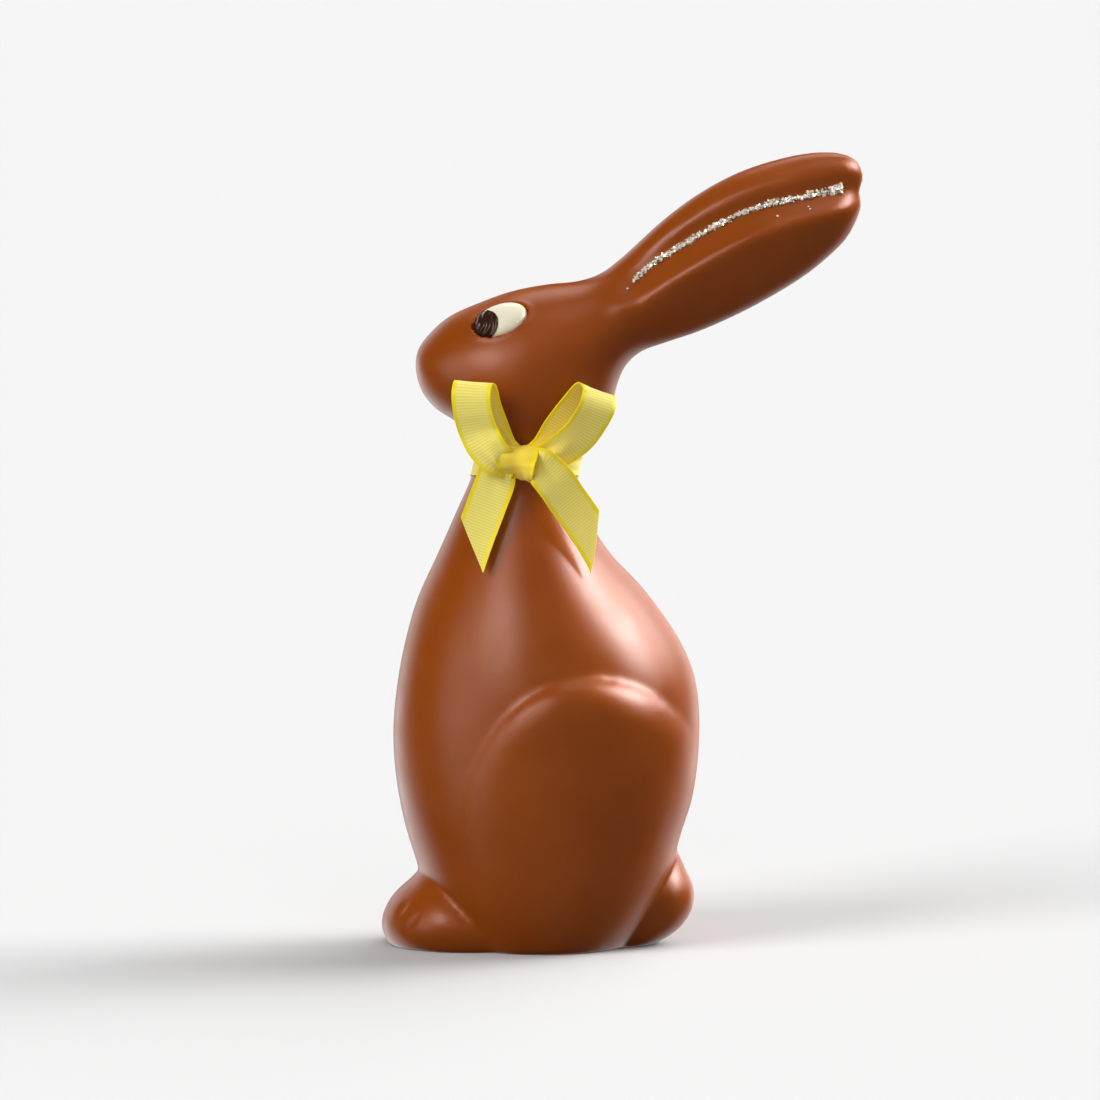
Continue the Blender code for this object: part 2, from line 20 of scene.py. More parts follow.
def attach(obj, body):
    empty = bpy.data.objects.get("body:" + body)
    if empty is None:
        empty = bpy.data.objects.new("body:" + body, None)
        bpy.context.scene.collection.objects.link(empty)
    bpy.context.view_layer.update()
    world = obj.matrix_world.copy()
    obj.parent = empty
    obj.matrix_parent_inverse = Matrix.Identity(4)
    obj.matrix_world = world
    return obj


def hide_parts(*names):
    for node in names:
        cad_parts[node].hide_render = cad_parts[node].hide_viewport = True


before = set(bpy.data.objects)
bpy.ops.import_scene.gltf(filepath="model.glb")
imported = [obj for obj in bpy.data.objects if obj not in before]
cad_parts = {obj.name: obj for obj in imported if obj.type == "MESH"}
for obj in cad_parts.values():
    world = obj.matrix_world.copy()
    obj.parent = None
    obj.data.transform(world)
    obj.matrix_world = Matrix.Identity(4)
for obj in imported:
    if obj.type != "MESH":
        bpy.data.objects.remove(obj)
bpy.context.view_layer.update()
MM = 0.001
print("packed nodes:", sorted(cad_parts))

# %% [markdown]
# The camera looks at the bunny's left side through a long lens, from a little above. A
# long lens keeps upright lines parallel, which is how small goods are photographed.

# %% Camera
PICTURE_WIDTH = 0.275
LENS = 600.0
SENSOR = 36.0
CAMERA_RISE = math.radians(8)
AIM = Vector((0.00125, 0.0, 0.0995))
FAR_CLIP = 50.0


def place_camera():
    camera = bpy.data.objects.new("camera", bpy.data.cameras.new("camera"))
    bpy.context.scene.collection.objects.link(camera)
    camera.data.lens = LENS
    camera.data.sensor_width = SENSOR
    camera.data.clip_end = FAR_CLIP
    back = Vector((0.0, -math.cos(CAMERA_RISE), math.sin(CAMERA_RISE)))
    distance = PICTURE_WIDTH * LENS / SENSOR
    camera.location = AIM + back * distance
    camera.rotation_euler = (-back).to_track_quat("-Z", "Y").to_euler()
    bpy.context.scene.camera = camera
    print("camera distance in metres:", round(distance, 3))


place_camera()

# %% [markdown]
# The light is a plain product studio with two kinds of light. Sun lamps with wide angles
# do the work of softboxes for the matt part of each surface: they light the floor evenly,
# and their shadows soften with distance. What the gloss mirrors is set apart from that, as
# soft round panels in the surroundings, so that each highlight can be placed on its own.
# A lamp's values are its azimuth, its elevation, its width in degrees and its strength.

# %% Lamps
SOFTBOXES = {
    "key light": (108, 34, 30, 2.0),
    "back light": (142, 42, 45, 1.4),
    "side light": (118, 14, 40, 2.2),
    "left light": (-54, 33, 30, 2.2),
    "front light": (8, 22, 60, 0.55),
    "top light": (0, 90, 70, 0.75),
}


def toward(azimuth, elevation):
    """The direction of a light. Azimuth 0 is at the camera and 90 on the right, in degrees."""
    turn, rise = math.radians(azimuth), math.radians(elevation)
    level = math.cos(rise)
    return Vector((math.sin(turn) * level, -math.cos(turn) * level, math.sin(rise)))


def softbox(name, azimuth, elevation, spread, strength):
    lamp = bpy.data.lights.new(name, "SUN")
    lamp.angle = math.radians(spread)
    lamp.energy = strength
    made = bpy.data.objects.new(name, lamp)
    made.rotation_euler = toward(azimuth, elevation).to_track_quat("Z", "Y").to_euler()
    made.visible_glossy = False
    bpy.context.scene.collection.objects.link(made)


for lamp_name, setting in SOFTBOXES.items():
    softbox(lamp_name, *setting)
print("lamps:", len(SOFTBOXES))

# %% [markdown]
# The world shader answers each ray by its kind. The camera sees plain paper, glossy rays
# see the panels, and other rays see nothing, because the lamps and the floor's bounce
# already give the matt light. Each panel is a dot product with its direction, run through
# a smooth step, and the panels are added up. A panel's values are its azimuth, its
# elevation, half its width and its radiance.

# %% Surroundings
PAPER = 0.93
PANEL_CORE = 0.25
PANELS = [
    (73, 33, 21, 34.0), (104, 33, 24, 10.5), (-27, 20, 17, 9.0), (-52, 3, 24, 2.4),
    (25, 62, 24, 1.4), (180, 64, 26, 3.0), (135, 42, 32, 2.3), (144, 10, 32, 2.3),
    (180, -25, 30, 0.8), (-135, -30, 34, 2.8), (135, -30, 34, 1.4), (-144, 10, 32, 1.8),
]


def feed(tree, node, inputs):
    """Links a node's inputs to other nodes' outputs, or gives them plain values."""
    for name, value in dict(inputs).items():
        if isinstance(value, bpy.types.NodeSocket):
            tree.links.new(value, node.inputs[name])
        else:
            node.inputs[name].default_value = value


def wire(tree, kind, inputs=(), **settings):
    """A new node with its properties set and its inputs fed."""
    node = tree.nodes.new(kind)
    for name, value in settings.items():
        setattr(node, name, value)
    feed(tree, node, inputs)
    return node


def number(tree, operation, *values):
    """What a Math node makes of the values."""
    return wire(tree, "ShaderNodeMath", enumerate(values), operation=operation).outputs[0]


def mix(tree, share, low, high, kind="RGBA"):
    inputs = {"Factor": share, "A": low, "B": high}
    return wire(tree, "ShaderNodeMix", inputs, data_type=kind).outputs["Result"]


def stretch(tree, value, span, onto, **settings):
    """Maps the value's span onto another one, and keeps it inside that."""
    inputs = {"Value": value, "From Min": span[0], "From Max": span[1],
              "To Min": onto[0], "To Max": onto[1]}
    return wire(tree, "ShaderNodeMapRange", inputs, **settings).outputs["Result"]


def panel(tree, direction, azimuth, elevation, spread, radiance):
    """A soft round light whose edge is so many degrees from its middle."""
    aim = wire(tree, "ShaderNodeVectorMath", {0: direction, 1: toward(azimuth, elevation)},
               operation="DOT_PRODUCT").outputs["Value"]
    span = (math.cos(math.radians(spread)), math.cos(math.radians(spread * PANEL_CORE)))
    return stretch(tree, aim, span, (0.0, radiance), interpolation_type="SMOOTHSTEP")


def surroundings():
    world = bpy.data.worlds.new("studio")
    bpy.context.scene.world = world
    world.use_nodes = True
    tree = world.node_tree
    tree.nodes.clear()
    rays = wire(tree, "ShaderNodeLightPath").outputs
    direction = wire(tree, "ShaderNodeTexCoord").outputs["Generated"]
    shine = panel(tree, direction, *PANELS[0])
    for place in PANELS[1:]:
        shine = number(tree, "ADD", shine, panel(tree, direction, *place))
    mirrored = number(tree, "MULTIPLY", shine, rays["Is Glossy Ray"])
    seen = mix(tree, rays["Is Camera Ray"], mirrored, PAPER, "FLOAT")
    light = wire(tree, "ShaderNodeBackground", {"Strength": seen}).outputs[0]
    wire(tree, "ShaderNodeOutputWorld", {"Surface": light})
    print("panels:", len(PANELS))


surroundings()
bpy.context.scene.view_settings.view_transform = "Standard"

# %% [markdown]
# The floor is a sheet of pale paper far larger than the picture. It has no gloss, and
# shiny surfaces don't see it. The rays that carry its bounce see a darker paper than the
# camera does, as if black card lay just outside the picture, so that undersides stay deep.

# %% Floor
FLOOR_SIZE = 24.0
PAPER_TONE = 0.61
CARD_TONE = 0.28


def new_skin(name):
    """A new material, its node tree and its Principled shader."""
    skin = bpy.data.materials.new(name)
    skin.use_nodes = True
    return skin, skin.node_tree, skin.node_tree.nodes["Principled BSDF"]


def object_of(name, shape, skin):
    """The object made of a bmesh, which is used up."""
    mesh = bpy.data.meshes.new(name)
    shape.to_mesh(mesh)
    shape.free()
    mesh.materials.append(skin)
    made = bpy.data.objects.new(name, mesh)
    bpy.context.scene.collection.objects.link(made)
    return made


def paper_floor():
    skin, tree, shader = new_skin("white paper")
    seen = wire(tree, "ShaderNodeLightPath").outputs["Is Camera Ray"]
    tone = mix(tree, seen, CARD_TONE, PAPER_TONE, "FLOAT")
    feed(tree, shader, {"Base Color": tone, "Roughness": 1.0, "Specular IOR Level": 0.0})
    shape = bmesh.new()
    bmesh.ops.create_grid(shape, x_segments=1, y_segments=1, size=FLOOR_SIZE / 2)
    floor = object_of("floor", shape, skin)
    floor.visible_glossy = False


paper_floor()

# %% [markdown]
# Chocolate out of a mould is never one flat colour. Cocoa butter sets a little unevenly,
# so the tone drifts over a few centimetres and the gloss with it, and the skin has a very
# fine orange peel. All three chocolates share this, so it is one node group with inputs
# for the two tones and the range of the gloss, placed in each material with its own values.

# %% A node group for the set of cast chocolate
CAST_INPUTS = [
    ("Tone", "NodeSocketColor", (0.2, 0.06, 0.02, 1.0)),
    ("Pale Tone", "NodeSocketColor", (0.3, 0.1, 0.04, 1.0)),
    ("Gloss Low", "NodeSocketFloat", 0.30),
    ("Gloss High", "NodeSocketFloat", 0.42),
]
CAST_OUTPUTS = [
    ("Color", "NodeSocketColor"), ("Roughness", "NodeSocketFloat"), ("Height", "NodeSocketFloat"),
]
NOISE_MIDDLE = (0.3, 0.7)
TONE_SCALE, TONE_DETAIL = 45.0, 3.0
GLOSS_SCALE, GLOSS_DETAIL = 140.0, 4.0
PEEL_SCALE, PEEL_DETAIL = 2600.0, 2.0


def noise(tree, place, scale, detail):
    inputs = {"Vector": place, "Scale": scale, "Detail": detail}
    return wire(tree, "ShaderNodeTexNoise", inputs).outputs["Fac"]


def cast_set_group():
    tree = bpy.data.node_groups.new("cast set", "ShaderNodeTree")
    for name, kind, value in CAST_INPUTS:
        tree.interface.new_socket(name, in_out="INPUT", socket_type=kind).default_value = value
    for name, kind in CAST_OUTPUTS:
        tree.interface.new_socket(name, in_out="OUTPUT", socket_type=kind)
    given = wire(tree, "NodeGroupInput").outputs
    place = wire(tree, "ShaderNodeTexCoord").outputs["Object"]
    drift = stretch(tree, noise(tree, place, TONE_SCALE, TONE_DETAIL), NOISE_MIDDLE, (0.0, 1.0))
    tone = mix(tree, drift, given["Tone"], given["Pale Tone"])
    gloss = stretch(tree, noise(tree, place, GLOSS_SCALE, GLOSS_DETAIL), NOISE_MIDDLE,
                    (given["Gloss Low"], given["Gloss High"]))
    peel = noise(tree, place, PEEL_SCALE, PEEL_DETAIL)
    wire(tree, "NodeGroupOutput", {"Color": tone, "Roughness": gloss, "Height": peel})
    return tree


cast_set = cast_set_group()
print("node group:", cast_set.name)

# %% [markdown]
# The chocolates are a Principled BSDF each, with the group's tone, gloss and height. The
# height only goes through a Bump node, because the peel is finer than any mesh here. Each
# set of values is the tone, the paler tone, the range of roughness and the peel's strength.

# %% Chocolate materials
PEEL_DEPTH = 0.00005
MILK = ((0.255, 0.050, 0.0028), (0.290, 0.060, 0.0040), 0.285, 0.37, 0.5)
WHITE = ((0.82, 0.76, 0.56), (0.87, 0.81, 0.63), 0.30, 0.42, 0.4)
DARK = ((0.032, 0.010, 0.005), (0.045, 0.015, 0.008), 0.16, 0.26, 0.5)


def chocolate_skin(name, tone, pale_tone, gloss_low, gloss_high, peel):
    skin, tree, shader = new_skin(name)
    given = {"Tone": (*tone, 1.0), "Pale Tone": (*pale_tone, 1.0),
             "Gloss Low": gloss_low, "Gloss High": gloss_high}
    cast = wire(tree, "ShaderNodeGroup", given, node_tree=cast_set).outputs
    given = {"Height": cast["Height"], "Strength": peel, "Distance": PEEL_DEPTH}
    bumped = wire(tree, "ShaderNodeBump", given).outputs["Normal"]
    feed(tree, shader, {"Base Color": cast["Color"], "Roughness": cast["Roughness"],
                        "Normal": bumped})
    return skin


milk_chocolate = chocolate_skin("milk chocolate", *MILK)
white_chocolate = chocolate_skin("white chocolate", *WHITE)
dark_chocolate = chocolate_skin("dark chocolate", *DARK)
print("chocolates:", milk_chocolate.name, white_chocolate.name, dark_chocolate.name)

# %% [markdown]
# The bunny was cast lying between two mould halves, so its sides swell from a middle plane
# like cushions. Each lump starts as a smooth outline in side view. The outline comes from
# a spline through a few corner points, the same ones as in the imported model.

# %% Outlines in side view, in millimetres
TORSO_HEAD_EAR = [
    (-30.0, 14.0), (-32.7, 22.5), (-35.0, 30.0), (-37.2, 41.5), (-38.0, 53.0),
    (-37.2, 64.0), (-35.2, 75.5), (-32.0, 87.0), (-27.0, 98.2), (-22.0, 109.6),
    (-18.7, 117.2), (-17.3, 122.5), (-18.6, 127.5), (-22.0, 131.8), (-27.0, 135.0),
    (-30.6, 139.2), (-32.3, 144.9), (-31.8, 149.8), (-29.2, 153.6), (-24.2, 158.1),
    (-16.7, 161.6), (-8.0, 164.7), (0.8, 166.4), (8.3, 167.2), (13.5, 168.9),
    (18.5, 172.6), (29.7, 182.8), (38.8, 189.5), (47.7, 194.3), (56.8, 197.5),
    (65.7, 199.4), (72.8, 199.5), (76.8, 198.3), (79.0, 195.6), (79.3, 192.5),
    (78.4, 189.6), (79.0, 187.0), (78.2, 183.8), (75.2, 178.0), (69.0, 171.9),
    (62.7, 167.2), (50.8, 160.3), (38.8, 154.8), (29.7, 151.7), (24.0, 149.6),
    (20.3, 146.3), (18.2, 141.8), (16.9, 136.6), (15.0, 131.4), (11.8, 126.6),
    (8.8, 122.4), (8.2, 117.8), (9.8, 112.0), (12.8, 104.0), (16.8, 98.0),
    (23.7, 90.7), (29.6, 83.0), (34.3, 75.5), (37.3, 68.0), (38.6, 58.5),
    (38.4, 48.0), (36.9, 37.0), (33.6, 26.3), (31.5, 17.0), (28.0, 9.0),
    (22.5, 1.5), (15.0, -5.0), (7.0, -10.0), (-1.0, -13.0), (-10.0, -12.0),
    (-18.5, -5.5), (-25.0, 4.0),
]
FEET = [
    (-28.0, 21.5), (-18.0, 18.0), (-6.0, 11.0), (3.0, 5.0), (6.0, -2.0),
    (0.0, -7.0), (-14.0, -8.0), (-28.0, -6.0), (-36.5, -2.5), (-39.6, 0.8),
    (-41.0, 4.6), (-40.2, 8.6), (-37.6, 12.8), (-33.6, 16.4),
]
TAIL = [
    (35.4, 18.4), (37.3, 13.8), (37.0, 9.2), (34.4, 4.6), (30.0, 1.2),
    (23.0, -2.0), (15.0, -4.0), (8.0, -1.0), (9.0, 7.0), (16.0, 14.0),
    (24.0, 20.0), (32.0, 24.0),
]
SPAN_POINTS = 24


def spline(corners, step, closed):
    """Points at equal steps along a smooth curve through the corners, of any dimension."""
    corners = [np.array(c, dtype=float) for c in corners]
    count = len(corners)
    if closed:
        spans = [[corners[(i + k) % count] for k in (-1, 0, 1, 2)] for i in range(count)]
    else:
        ends = [2 * corners[0] - corners[1]] + corners + [2 * corners[-1] - corners[-2]]
        spans = [ends[i : i + 4] for i in range(count - 1)]
    dense = []
    for p0, p1, p2, p3 in spans:
        k1 = math.dist(p0, p1) ** 0.5
        k2 = k1 + math.dist(p1, p2) ** 0.5
        k3 = k2 + math.dist(p2, p3) ** 0.5
        for t in np.linspace(k1, k2, SPAN_POINTS, endpoint=False):
            a1 = p0 + (p1 - p0) * t / k1
            a2 = p1 + (p2 - p1) * (t - k1) / (k2 - k1)
            a3 = p2 + (p3 - p2) * (t - k2) / (k3 - k2)
            b1 = a1 + (a2 - a1) * t / k2
            b2 = a2 + (a3 - a2) * (t - k1) / (k3 - k1)
            dense.append(b1 + (b2 - b1) * (t - k1) / (k2 - k1))
    dense = np.array(dense + [spans[-1][2]])
    along = np.concatenate([[0.0], np.cumsum(np.linalg.norm(np.diff(dense, axis=0), axis=1))])
    steps = max(2, round(along[-1] / step))
    places = np.linspace(0.0, along[-1], steps + 1)[: steps if closed else steps + 1]
    return np.stack([np.interp(places, along, axis) for axis in dense.T], axis=1)


print("outline corners:", len(TORSO_HEAD_EAR + FEET + TAIL))


# %% [markdown]
# The outline is filled with a triangle mesh. Rings that crowd towards the rim follow the
# steep edge of the swelling, and an even lattice fills the middle. Blender's constrained
# Delaunay triangulation joins the points without crossing the outline.

# %% Fill an outline with triangles
RIM_STEP = 1.2
INNER_STEP = 1.2
RIM_WIDTH = 4.0
RIM_RINGS = 9
RING_KEPT_FROM = 0.97
RING_GAP = 0.2
LATTICE_GAP = 0.5
SAME_POINT = 1e-6
ROW_HEIGHT = math.sqrt(0.75)


def near(points):
    """A tree that finds the nearest of the flat points."""
    tree = kdtree.KDTree(len(points))
    for i, (x, z) in enumerate(points):
        tree.insert((x, z, 0.0), i)
    tree.balance()
    return tree


def away(tree, points):
    """How far each flat point is from the tree's nearest point."""
    return np.array([tree.find((x, z, 0.0))[2] for x, z in points])


def within(outline, points):
    """Which of the flat points are inside the outline."""
    start, end = outline, np.roll(outline, -1, axis=0)
    crossed = np.zeros(len(points), dtype=int)
    for (x0, z0), (x1, z1) in zip(start, end):
        spans = (z0 > points[:, 1]) != (z1 > points[:, 1])
        at = x0 + (points[:, 1] - z0) * (x1 - x0) / (z1 - z0 if z1 != z0 else 1.0)
        crossed += spans & (points[:, 0] < at)
    return crossed % 2 == 1


def flat_fill(rim):
    """Points and triangles inside the rim: rings that crowd towards it, and a lattice."""
    rim_tree = near(rim)
    tangent = np.roll(rim, -1, axis=0) - np.roll(rim, 1, axis=0)
    inward = np.stack([tangent[:, 1], -tangent[:, 0]], axis=1)
    inward /= np.linalg.norm(inward, axis=1)[:, None]
    inner = []
    for ring in range(1, RIM_RINGS + 1):
        depth = RIM_WIDTH * (ring / RIM_RINGS) ** 2
        offset = rim + inward * depth
        offset = offset[away(rim_tree, offset) > RING_KEPT_FROM * depth]
        gaps = np.linalg.norm(offset - np.roll(offset, 1, axis=0), axis=1)
        inner.append(offset[gaps > RING_GAP * INNER_STEP])
    low, high = rim.min(axis=0), rim.max(axis=0)
    rows = np.arange(low[1], high[1], INNER_STEP * ROW_HEIGHT)
    columns = np.arange(low[0], high[0], INNER_STEP)
    lattice = [(x + INNER_STEP / 2 * (i % 2), z) for i, z in enumerate(rows) for x in columns]
    lattice = np.array(lattice)
    lattice = lattice[within(rim, lattice)]
    lattice = lattice[away(rim_tree, lattice) > RIM_WIDTH + LATTICE_GAP * INNER_STEP]
    points = np.concatenate([rim, *inner, lattice])
    edges = [(i, (i + 1) % len(rim)) for i in range(len(rim))]
    filled = geometry.delaunay_2d_cdt([Vector(p) for p in points], edges, [], 1, SAME_POINT)
    return np.array([tuple(p) for p in filled[0]]), np.array(filled[2])


# %% [markdown]
# A sheet of rubber held along the outline and blown up from below takes the form that a
# mould maker carves by hand: round in the middle, and meeting the rim squarely. The height
# of such a film solves a Poisson equation. Conjugate gradients solve it in a few hundred
# rounds of plain array sums, and the square root of the film is the lump's half depth.

# %% Blow up a film over the outline
BODY_FULLNESS = [
    ((-2.0, -6.0), 1.10), ((0.0, 45.0), 0.80), ((0.0, 80.0), 0.88), ((-4.5, 120.0), 0.68),
    ((-15.0, 148.0), 1.0), ((5.0, 150.0), 0.90), ((25.0, 163.0), 0.72), ((45.0, 175.0), 0.62),
    ((70.0, 188.0), 0.56),
]
FEET_FULLNESS = [((-20.0, 5.0), 1.62)]
TAIL_FULLNESS = [((25.0, 10.0), 1.2)]
BLEND_AREA = 60.0
FILM_ERROR = 1e-10


def fullness(points, table):
    """How much each point swells for its half width, blended by nearness."""
    places = np.array([p for p, _ in table])
    shares = np.array([s for _, s in table])
    apart = ((points[:, None, :] - places[None, :, :]) ** 2).sum(axis=2)
    weights = 1.0 / (apart + BLEND_AREA) ** 2
    return (weights * shares).sum(axis=1) / weights.sum(axis=1)


def turned(a, b):
    """The z part of the cross product of flat vectors."""
    return a[:, 0] * b[:, 1] - a[:, 1] * b[:, 0]


def soap_film(points, triangles, push):
    """Height of a film held along the fill's edge, and which points are off that edge."""
    count = len(points)
    load = np.zeros(count)
    ends, pulls = [], []
    for i in range(3):
        p, q, r = (triangles[:, (i + k) % 3] for k in range(3))
        u, v = points[q] - points[p], points[r] - points[p]
        twice_area = np.abs(turned(u, v))
        np.add.at(load, p, twice_area / 6 * push[p])
        ends.append(np.stack([q, r], axis=1))
        pulls.append((u * v).sum(axis=1) / twice_area / 2)
    ends, pulls = np.concatenate(ends), np.concatenate(pulls)
    sides, uses = np.unique(np.sort(ends, axis=1), axis=0, return_counts=True)
    free = np.ones(count)
    free[sides[uses == 1].ravel()] = 0.0
    first, second = ends.T

    def pulled(height):
        flow = pulls * (height[first] - height[second])
        total = np.bincount(first, flow, count) - np.bincount(second, flow, count)
        return total * free

    height = np.zeros(count)
    rest = load * free
    way = rest.copy()
    size = rest @ rest
    target = FILM_ERROR * size
    rounds = 0
    while size > target:
        turn = pulled(way)
        stride = size / (way @ turn)
        height += stride * way
        rest -= stride * turn
        size, before = rest @ rest, size
        way = rest + size / before * way
        rounds += 1
    print("film settled after rounds:", rounds)
    return np.maximum(height, 0.0), free


# %% [markdown]
# The body's swelling then gets its own relief. The thigh is an oval raised from the torso
# with a rounded shoulder, and the ear is folded lengthways: a valley that holds the glitter,
# and a crest below it. These are the forms that catch the light. They follow the packed
# model, and only the thigh's shoulder is a little softer, as its highlight is in the photo.

# %% The body's relief
HAUNCH_CENTRE = (11.2, 30.0)
HAUNCH_HALF = (32.5, 40.4)
HAUNCH_RISE = 4.8
HAUNCH_SHOULDERS = (0.27, 0.19)
HAUNCH_TIGHT_AT = math.radians(40)
HAUNCH_HIGH_AT = math.radians(62)
HAUNCH_LOW = 0.12
HAUNCH_FALL = 1.9
HAUNCH_FADE = 18.0
EAR_VALLEY = [
    (21.5, 167.9), (27.8, 173.0), (35.0, 177.6), (45.0, 183.1), (54.3, 186.9),
    (63.8, 189.0), (73.8, 191.0), (78.4, 190.4),
]
EAR_CREST = [
    (17.8, 161.7), (25.3, 165.7), (37.5, 172.5), (49.5, 178.8), (61.3, 183.1), (75.8, 185.9),
]
VALLEY_WIDTH = 3.6
VALLEY_DEPTH = 0.34
CREST_WIDTH = 5.5
CREST_ROUND = 1.2
CREST_RISE = 0.26
EAR_FROM = 10.0
EAR_FULL = 32.0
LINE_STEP = 0.5


def haunch_level(points):
    """0 outside the haunch's oval. Inside its shoulder it is 1 at the top and falls
    towards the belly, where the thigh flows into it."""
    offset = (points - np.array(HAUNCH_CENTRE)) / np.array(HAUNCH_HALF)
    turn = np.arctan2(offset[:, 1], offset[:, 0])
    tight = 0.5 + 0.5 * np.cos(turn - HAUNCH_TIGHT_AT)
    shoulder = HAUNCH_SHOULDERS[0] + (HAUNCH_SHOULDERS[1] - HAUNCH_SHOULDERS[0]) * tight
    ramp = np.clip((1.0 - np.linalg.norm(offset, axis=1)) / shoulder, 0.0, 1.0)
    upward = offset @ np.array([math.cos(HAUNCH_HIGH_AT), math.sin(HAUNCH_HIGH_AT)])
    high = HAUNCH_LOW + (1.0 - HAUNCH_LOW) * np.clip(0.5 + 0.5 * upward, 0.0, 1.0)**HAUNCH_FALL
    return np.sqrt(ramp * (2.0 - ramp)) * high


def body_relief(points, height):
    """The haunch raised, fading out at the rim, and the valley and crest along the ear."""
    inside = height**2 / (height**2 + HAUNCH_FADE**2)
    height = height + HAUNCH_RISE * inside * haunch_level(points)
    along_ear = np.clip((points[:, 0] - EAR_FROM) / (EAR_FULL - EAR_FROM), 0.0, 1.0)
    along_ear = along_ear**2 * (3.0 - 2.0 * along_ear)
    valley = away(near(spline(EAR_VALLEY, LINE_STEP, False)), points)
    crest = away(near(spline(EAR_CREST, LINE_STEP, False)), points)
    crest = np.sqrt(crest**2 + CREST_ROUND**2) - CREST_ROUND
    height *= 1.0 - along_ear * VALLEY_DEPTH * np.exp(-((valley / VALLEY_WIDTH) ** 2))
    return height * (1.0 + along_ear * CREST_RISE * np.exp(-crest / CREST_WIDTH))


def plain(points, height):
    return height


# %% [markdown]
# A lump is the fill pushed out to both sides by its half depth. It is cut flat where the
# floor is. The feet are one lump, because a mould gives them as one block. Sculpting could
# give the same forms, but not two sides that match so exactly.

# %% Lumps of chocolate
def lump(outline, table, relief):
    """A closed bmesh that swells to both sides of the outline."""
    points, triangles = flat_fill(spline(outline, RIM_STEP, True))
    film, free = soap_film(points, triangles, 2.0 * fullness(points, table) ** 2)
    height = relief(points, np.sqrt(film)) * MM
    inner = np.flatnonzero(free)
    mirror = np.arange(len(points))
    mirror[inner] = len(points) + np.arange(len(inner))
    flat = points * MM
    left = np.stack([flat[:, 0], -height, flat[:, 1]], axis=1)
    right = np.stack([flat[inner, 0], height[inner], flat[inner, 1]], axis=1)
    faces = np.concatenate([triangles, mirror[triangles][:, ::-1]])
    mesh = bpy.data.meshes.new("lump")
    mesh.from_pydata(np.concatenate([left, right]).tolist(), [], faces.tolist())
    shape = bmesh.new()
    shape.from_mesh(mesh)
    bpy.data.meshes.remove(mesh)
    bmesh.ops.recalc_face_normals(shape, faces=shape.faces)
    return shape


def cut_at_floor(shape):
    cut = bmesh.ops.bisect_plane(shape, geom=shape.verts[:] + shape.edges[:] + shape.faces[:],
                                 plane_no=(0.0, 0.0, -1.0), clear_outer=True)
    rim = [e for e in cut["geom_cut"] if isinstance(e, bmesh.types.BMEdge)]
    bmesh.ops.contextual_create(shape, geom=rim)


def cast_lumps():
    """The body, the tail and the feet in one mesh, still passing through each other."""
    all_lumps = lump(TORSO_HEAD_EAR, BODY_FULLNESS, body_relief)
    cut_at_floor(all_lumps)
    for piece in (lump(TAIL, TAIL_FULLNESS, plain), lump(FEET, FEET_FULLNESS, plain)):
        cut_at_floor(piece)
        mesh = bpy.data.meshes.new("lump")
        piece.to_mesh(mesh)
        piece.free()
        all_lumps.from_mesh(mesh)
        bpy.data.meshes.remove(mesh)
    return object_of("chocolate", all_lumps, milk_chocolate)


chocolate = cast_lumps()
print("lumps have faces:", len(chocolate.data.polygons))

# %% [markdown]
# Molten chocolate runs together in the mould, so the lumps meet in soft creases. A voxel
# remesh welds whatever overlaps into one skin of even squares, and a few rounds of moving
# each point towards its neighbours' middle take out the voxels' steps and round the creases.

# %% Weld the lumps into one cast
VOXEL = 0.00072
SMOOTH_ROUNDS = 4
SMOOTH_SHARE = 0.5


def apply_modifiers(made):
    changed = made.evaluated_get(bpy.context.evaluated_depsgraph_get())
    mesh = bpy.data.meshes.new_from_object(changed)
    made.modifiers.clear()
    made.data = mesh


def weld(made):
    remesh = made.modifiers.new("weld", "REMESH")
    remesh.mode = "VOXEL"
    remesh.voxel_size = VOXEL
    apply_modifiers(made)


def corners_of(mesh):
    corners = np.empty(len(mesh.vertices) * 3)
    mesh.vertices.foreach_get("co", corners)
    return corners.reshape(-1, 3)


def normals_of(mesh):
    normals = np.empty(len(mesh.vertices) * 3)
    mesh.vertex_normals.foreach_get("vector", normals)
    return normals.reshape(-1, 3)


def set_corners(mesh, corners):
    mesh.vertices.foreach_set("co", corners.ravel())
    mesh.update()


def relax(mesh, rounds):
    corners = corners_of(mesh)
    pairs = np.empty(len(mesh.edges) * 2, dtype=np.int64)
    mesh.edges.foreach_get("vertices", pairs)
    first, second = pairs.reshape(-1, 2).T
    count = len(corners)
    uses = np.bincount(first, minlength=count) + np.bincount(second, minlength=count)
    for _ in range(rounds):
        total = [np.bincount(first, corners[second, k], count)
                 + np.bincount(second, corners[first, k], count) for k in range(3)]
        corners += SMOOTH_SHARE * (np.stack(total, axis=1) / uses[:, None] - corners)
    set_corners(mesh, corners)


weld(chocolate)
relax(chocolate.data, SMOOTH_ROUNDS)
print("welded cast has faces:", len(chocolate.data.polygons))

# %% [markdown]
# Each eye lies in a hollow that the mould leaves for it, leaning back with the side of the
# head, with a thin lip of chocolate round it. The hollow and its lip are pressed into the
# skin by moving its points along the eye's own axis.

# %% Press the eye sockets
EYE_CENTRE = (-11.3, 159.0)
EYE_HALF = (7.0, 4.4, 2.3)
EYE_SUNK = 1.1
EYE_LEAN = math.radians(31)
EYE_TURN = math.radians(14)
EYE_TILT = math.radians(20)
SOCKET_GAP = 0.25
LIP_RISE = 0.35
LIP_AT = 1.13
LIP_WIDTH = 0.07
SOCKET_WIDER = 1.04
SOCKET_REACH = 1.6
SOCKET_NEAR = 5.0


def surface_tree(made):
    return BVHTree.FromPolygons([v.co for v in made.data.vertices],
                                [tuple(p.vertices) for p in made.data.polygons])


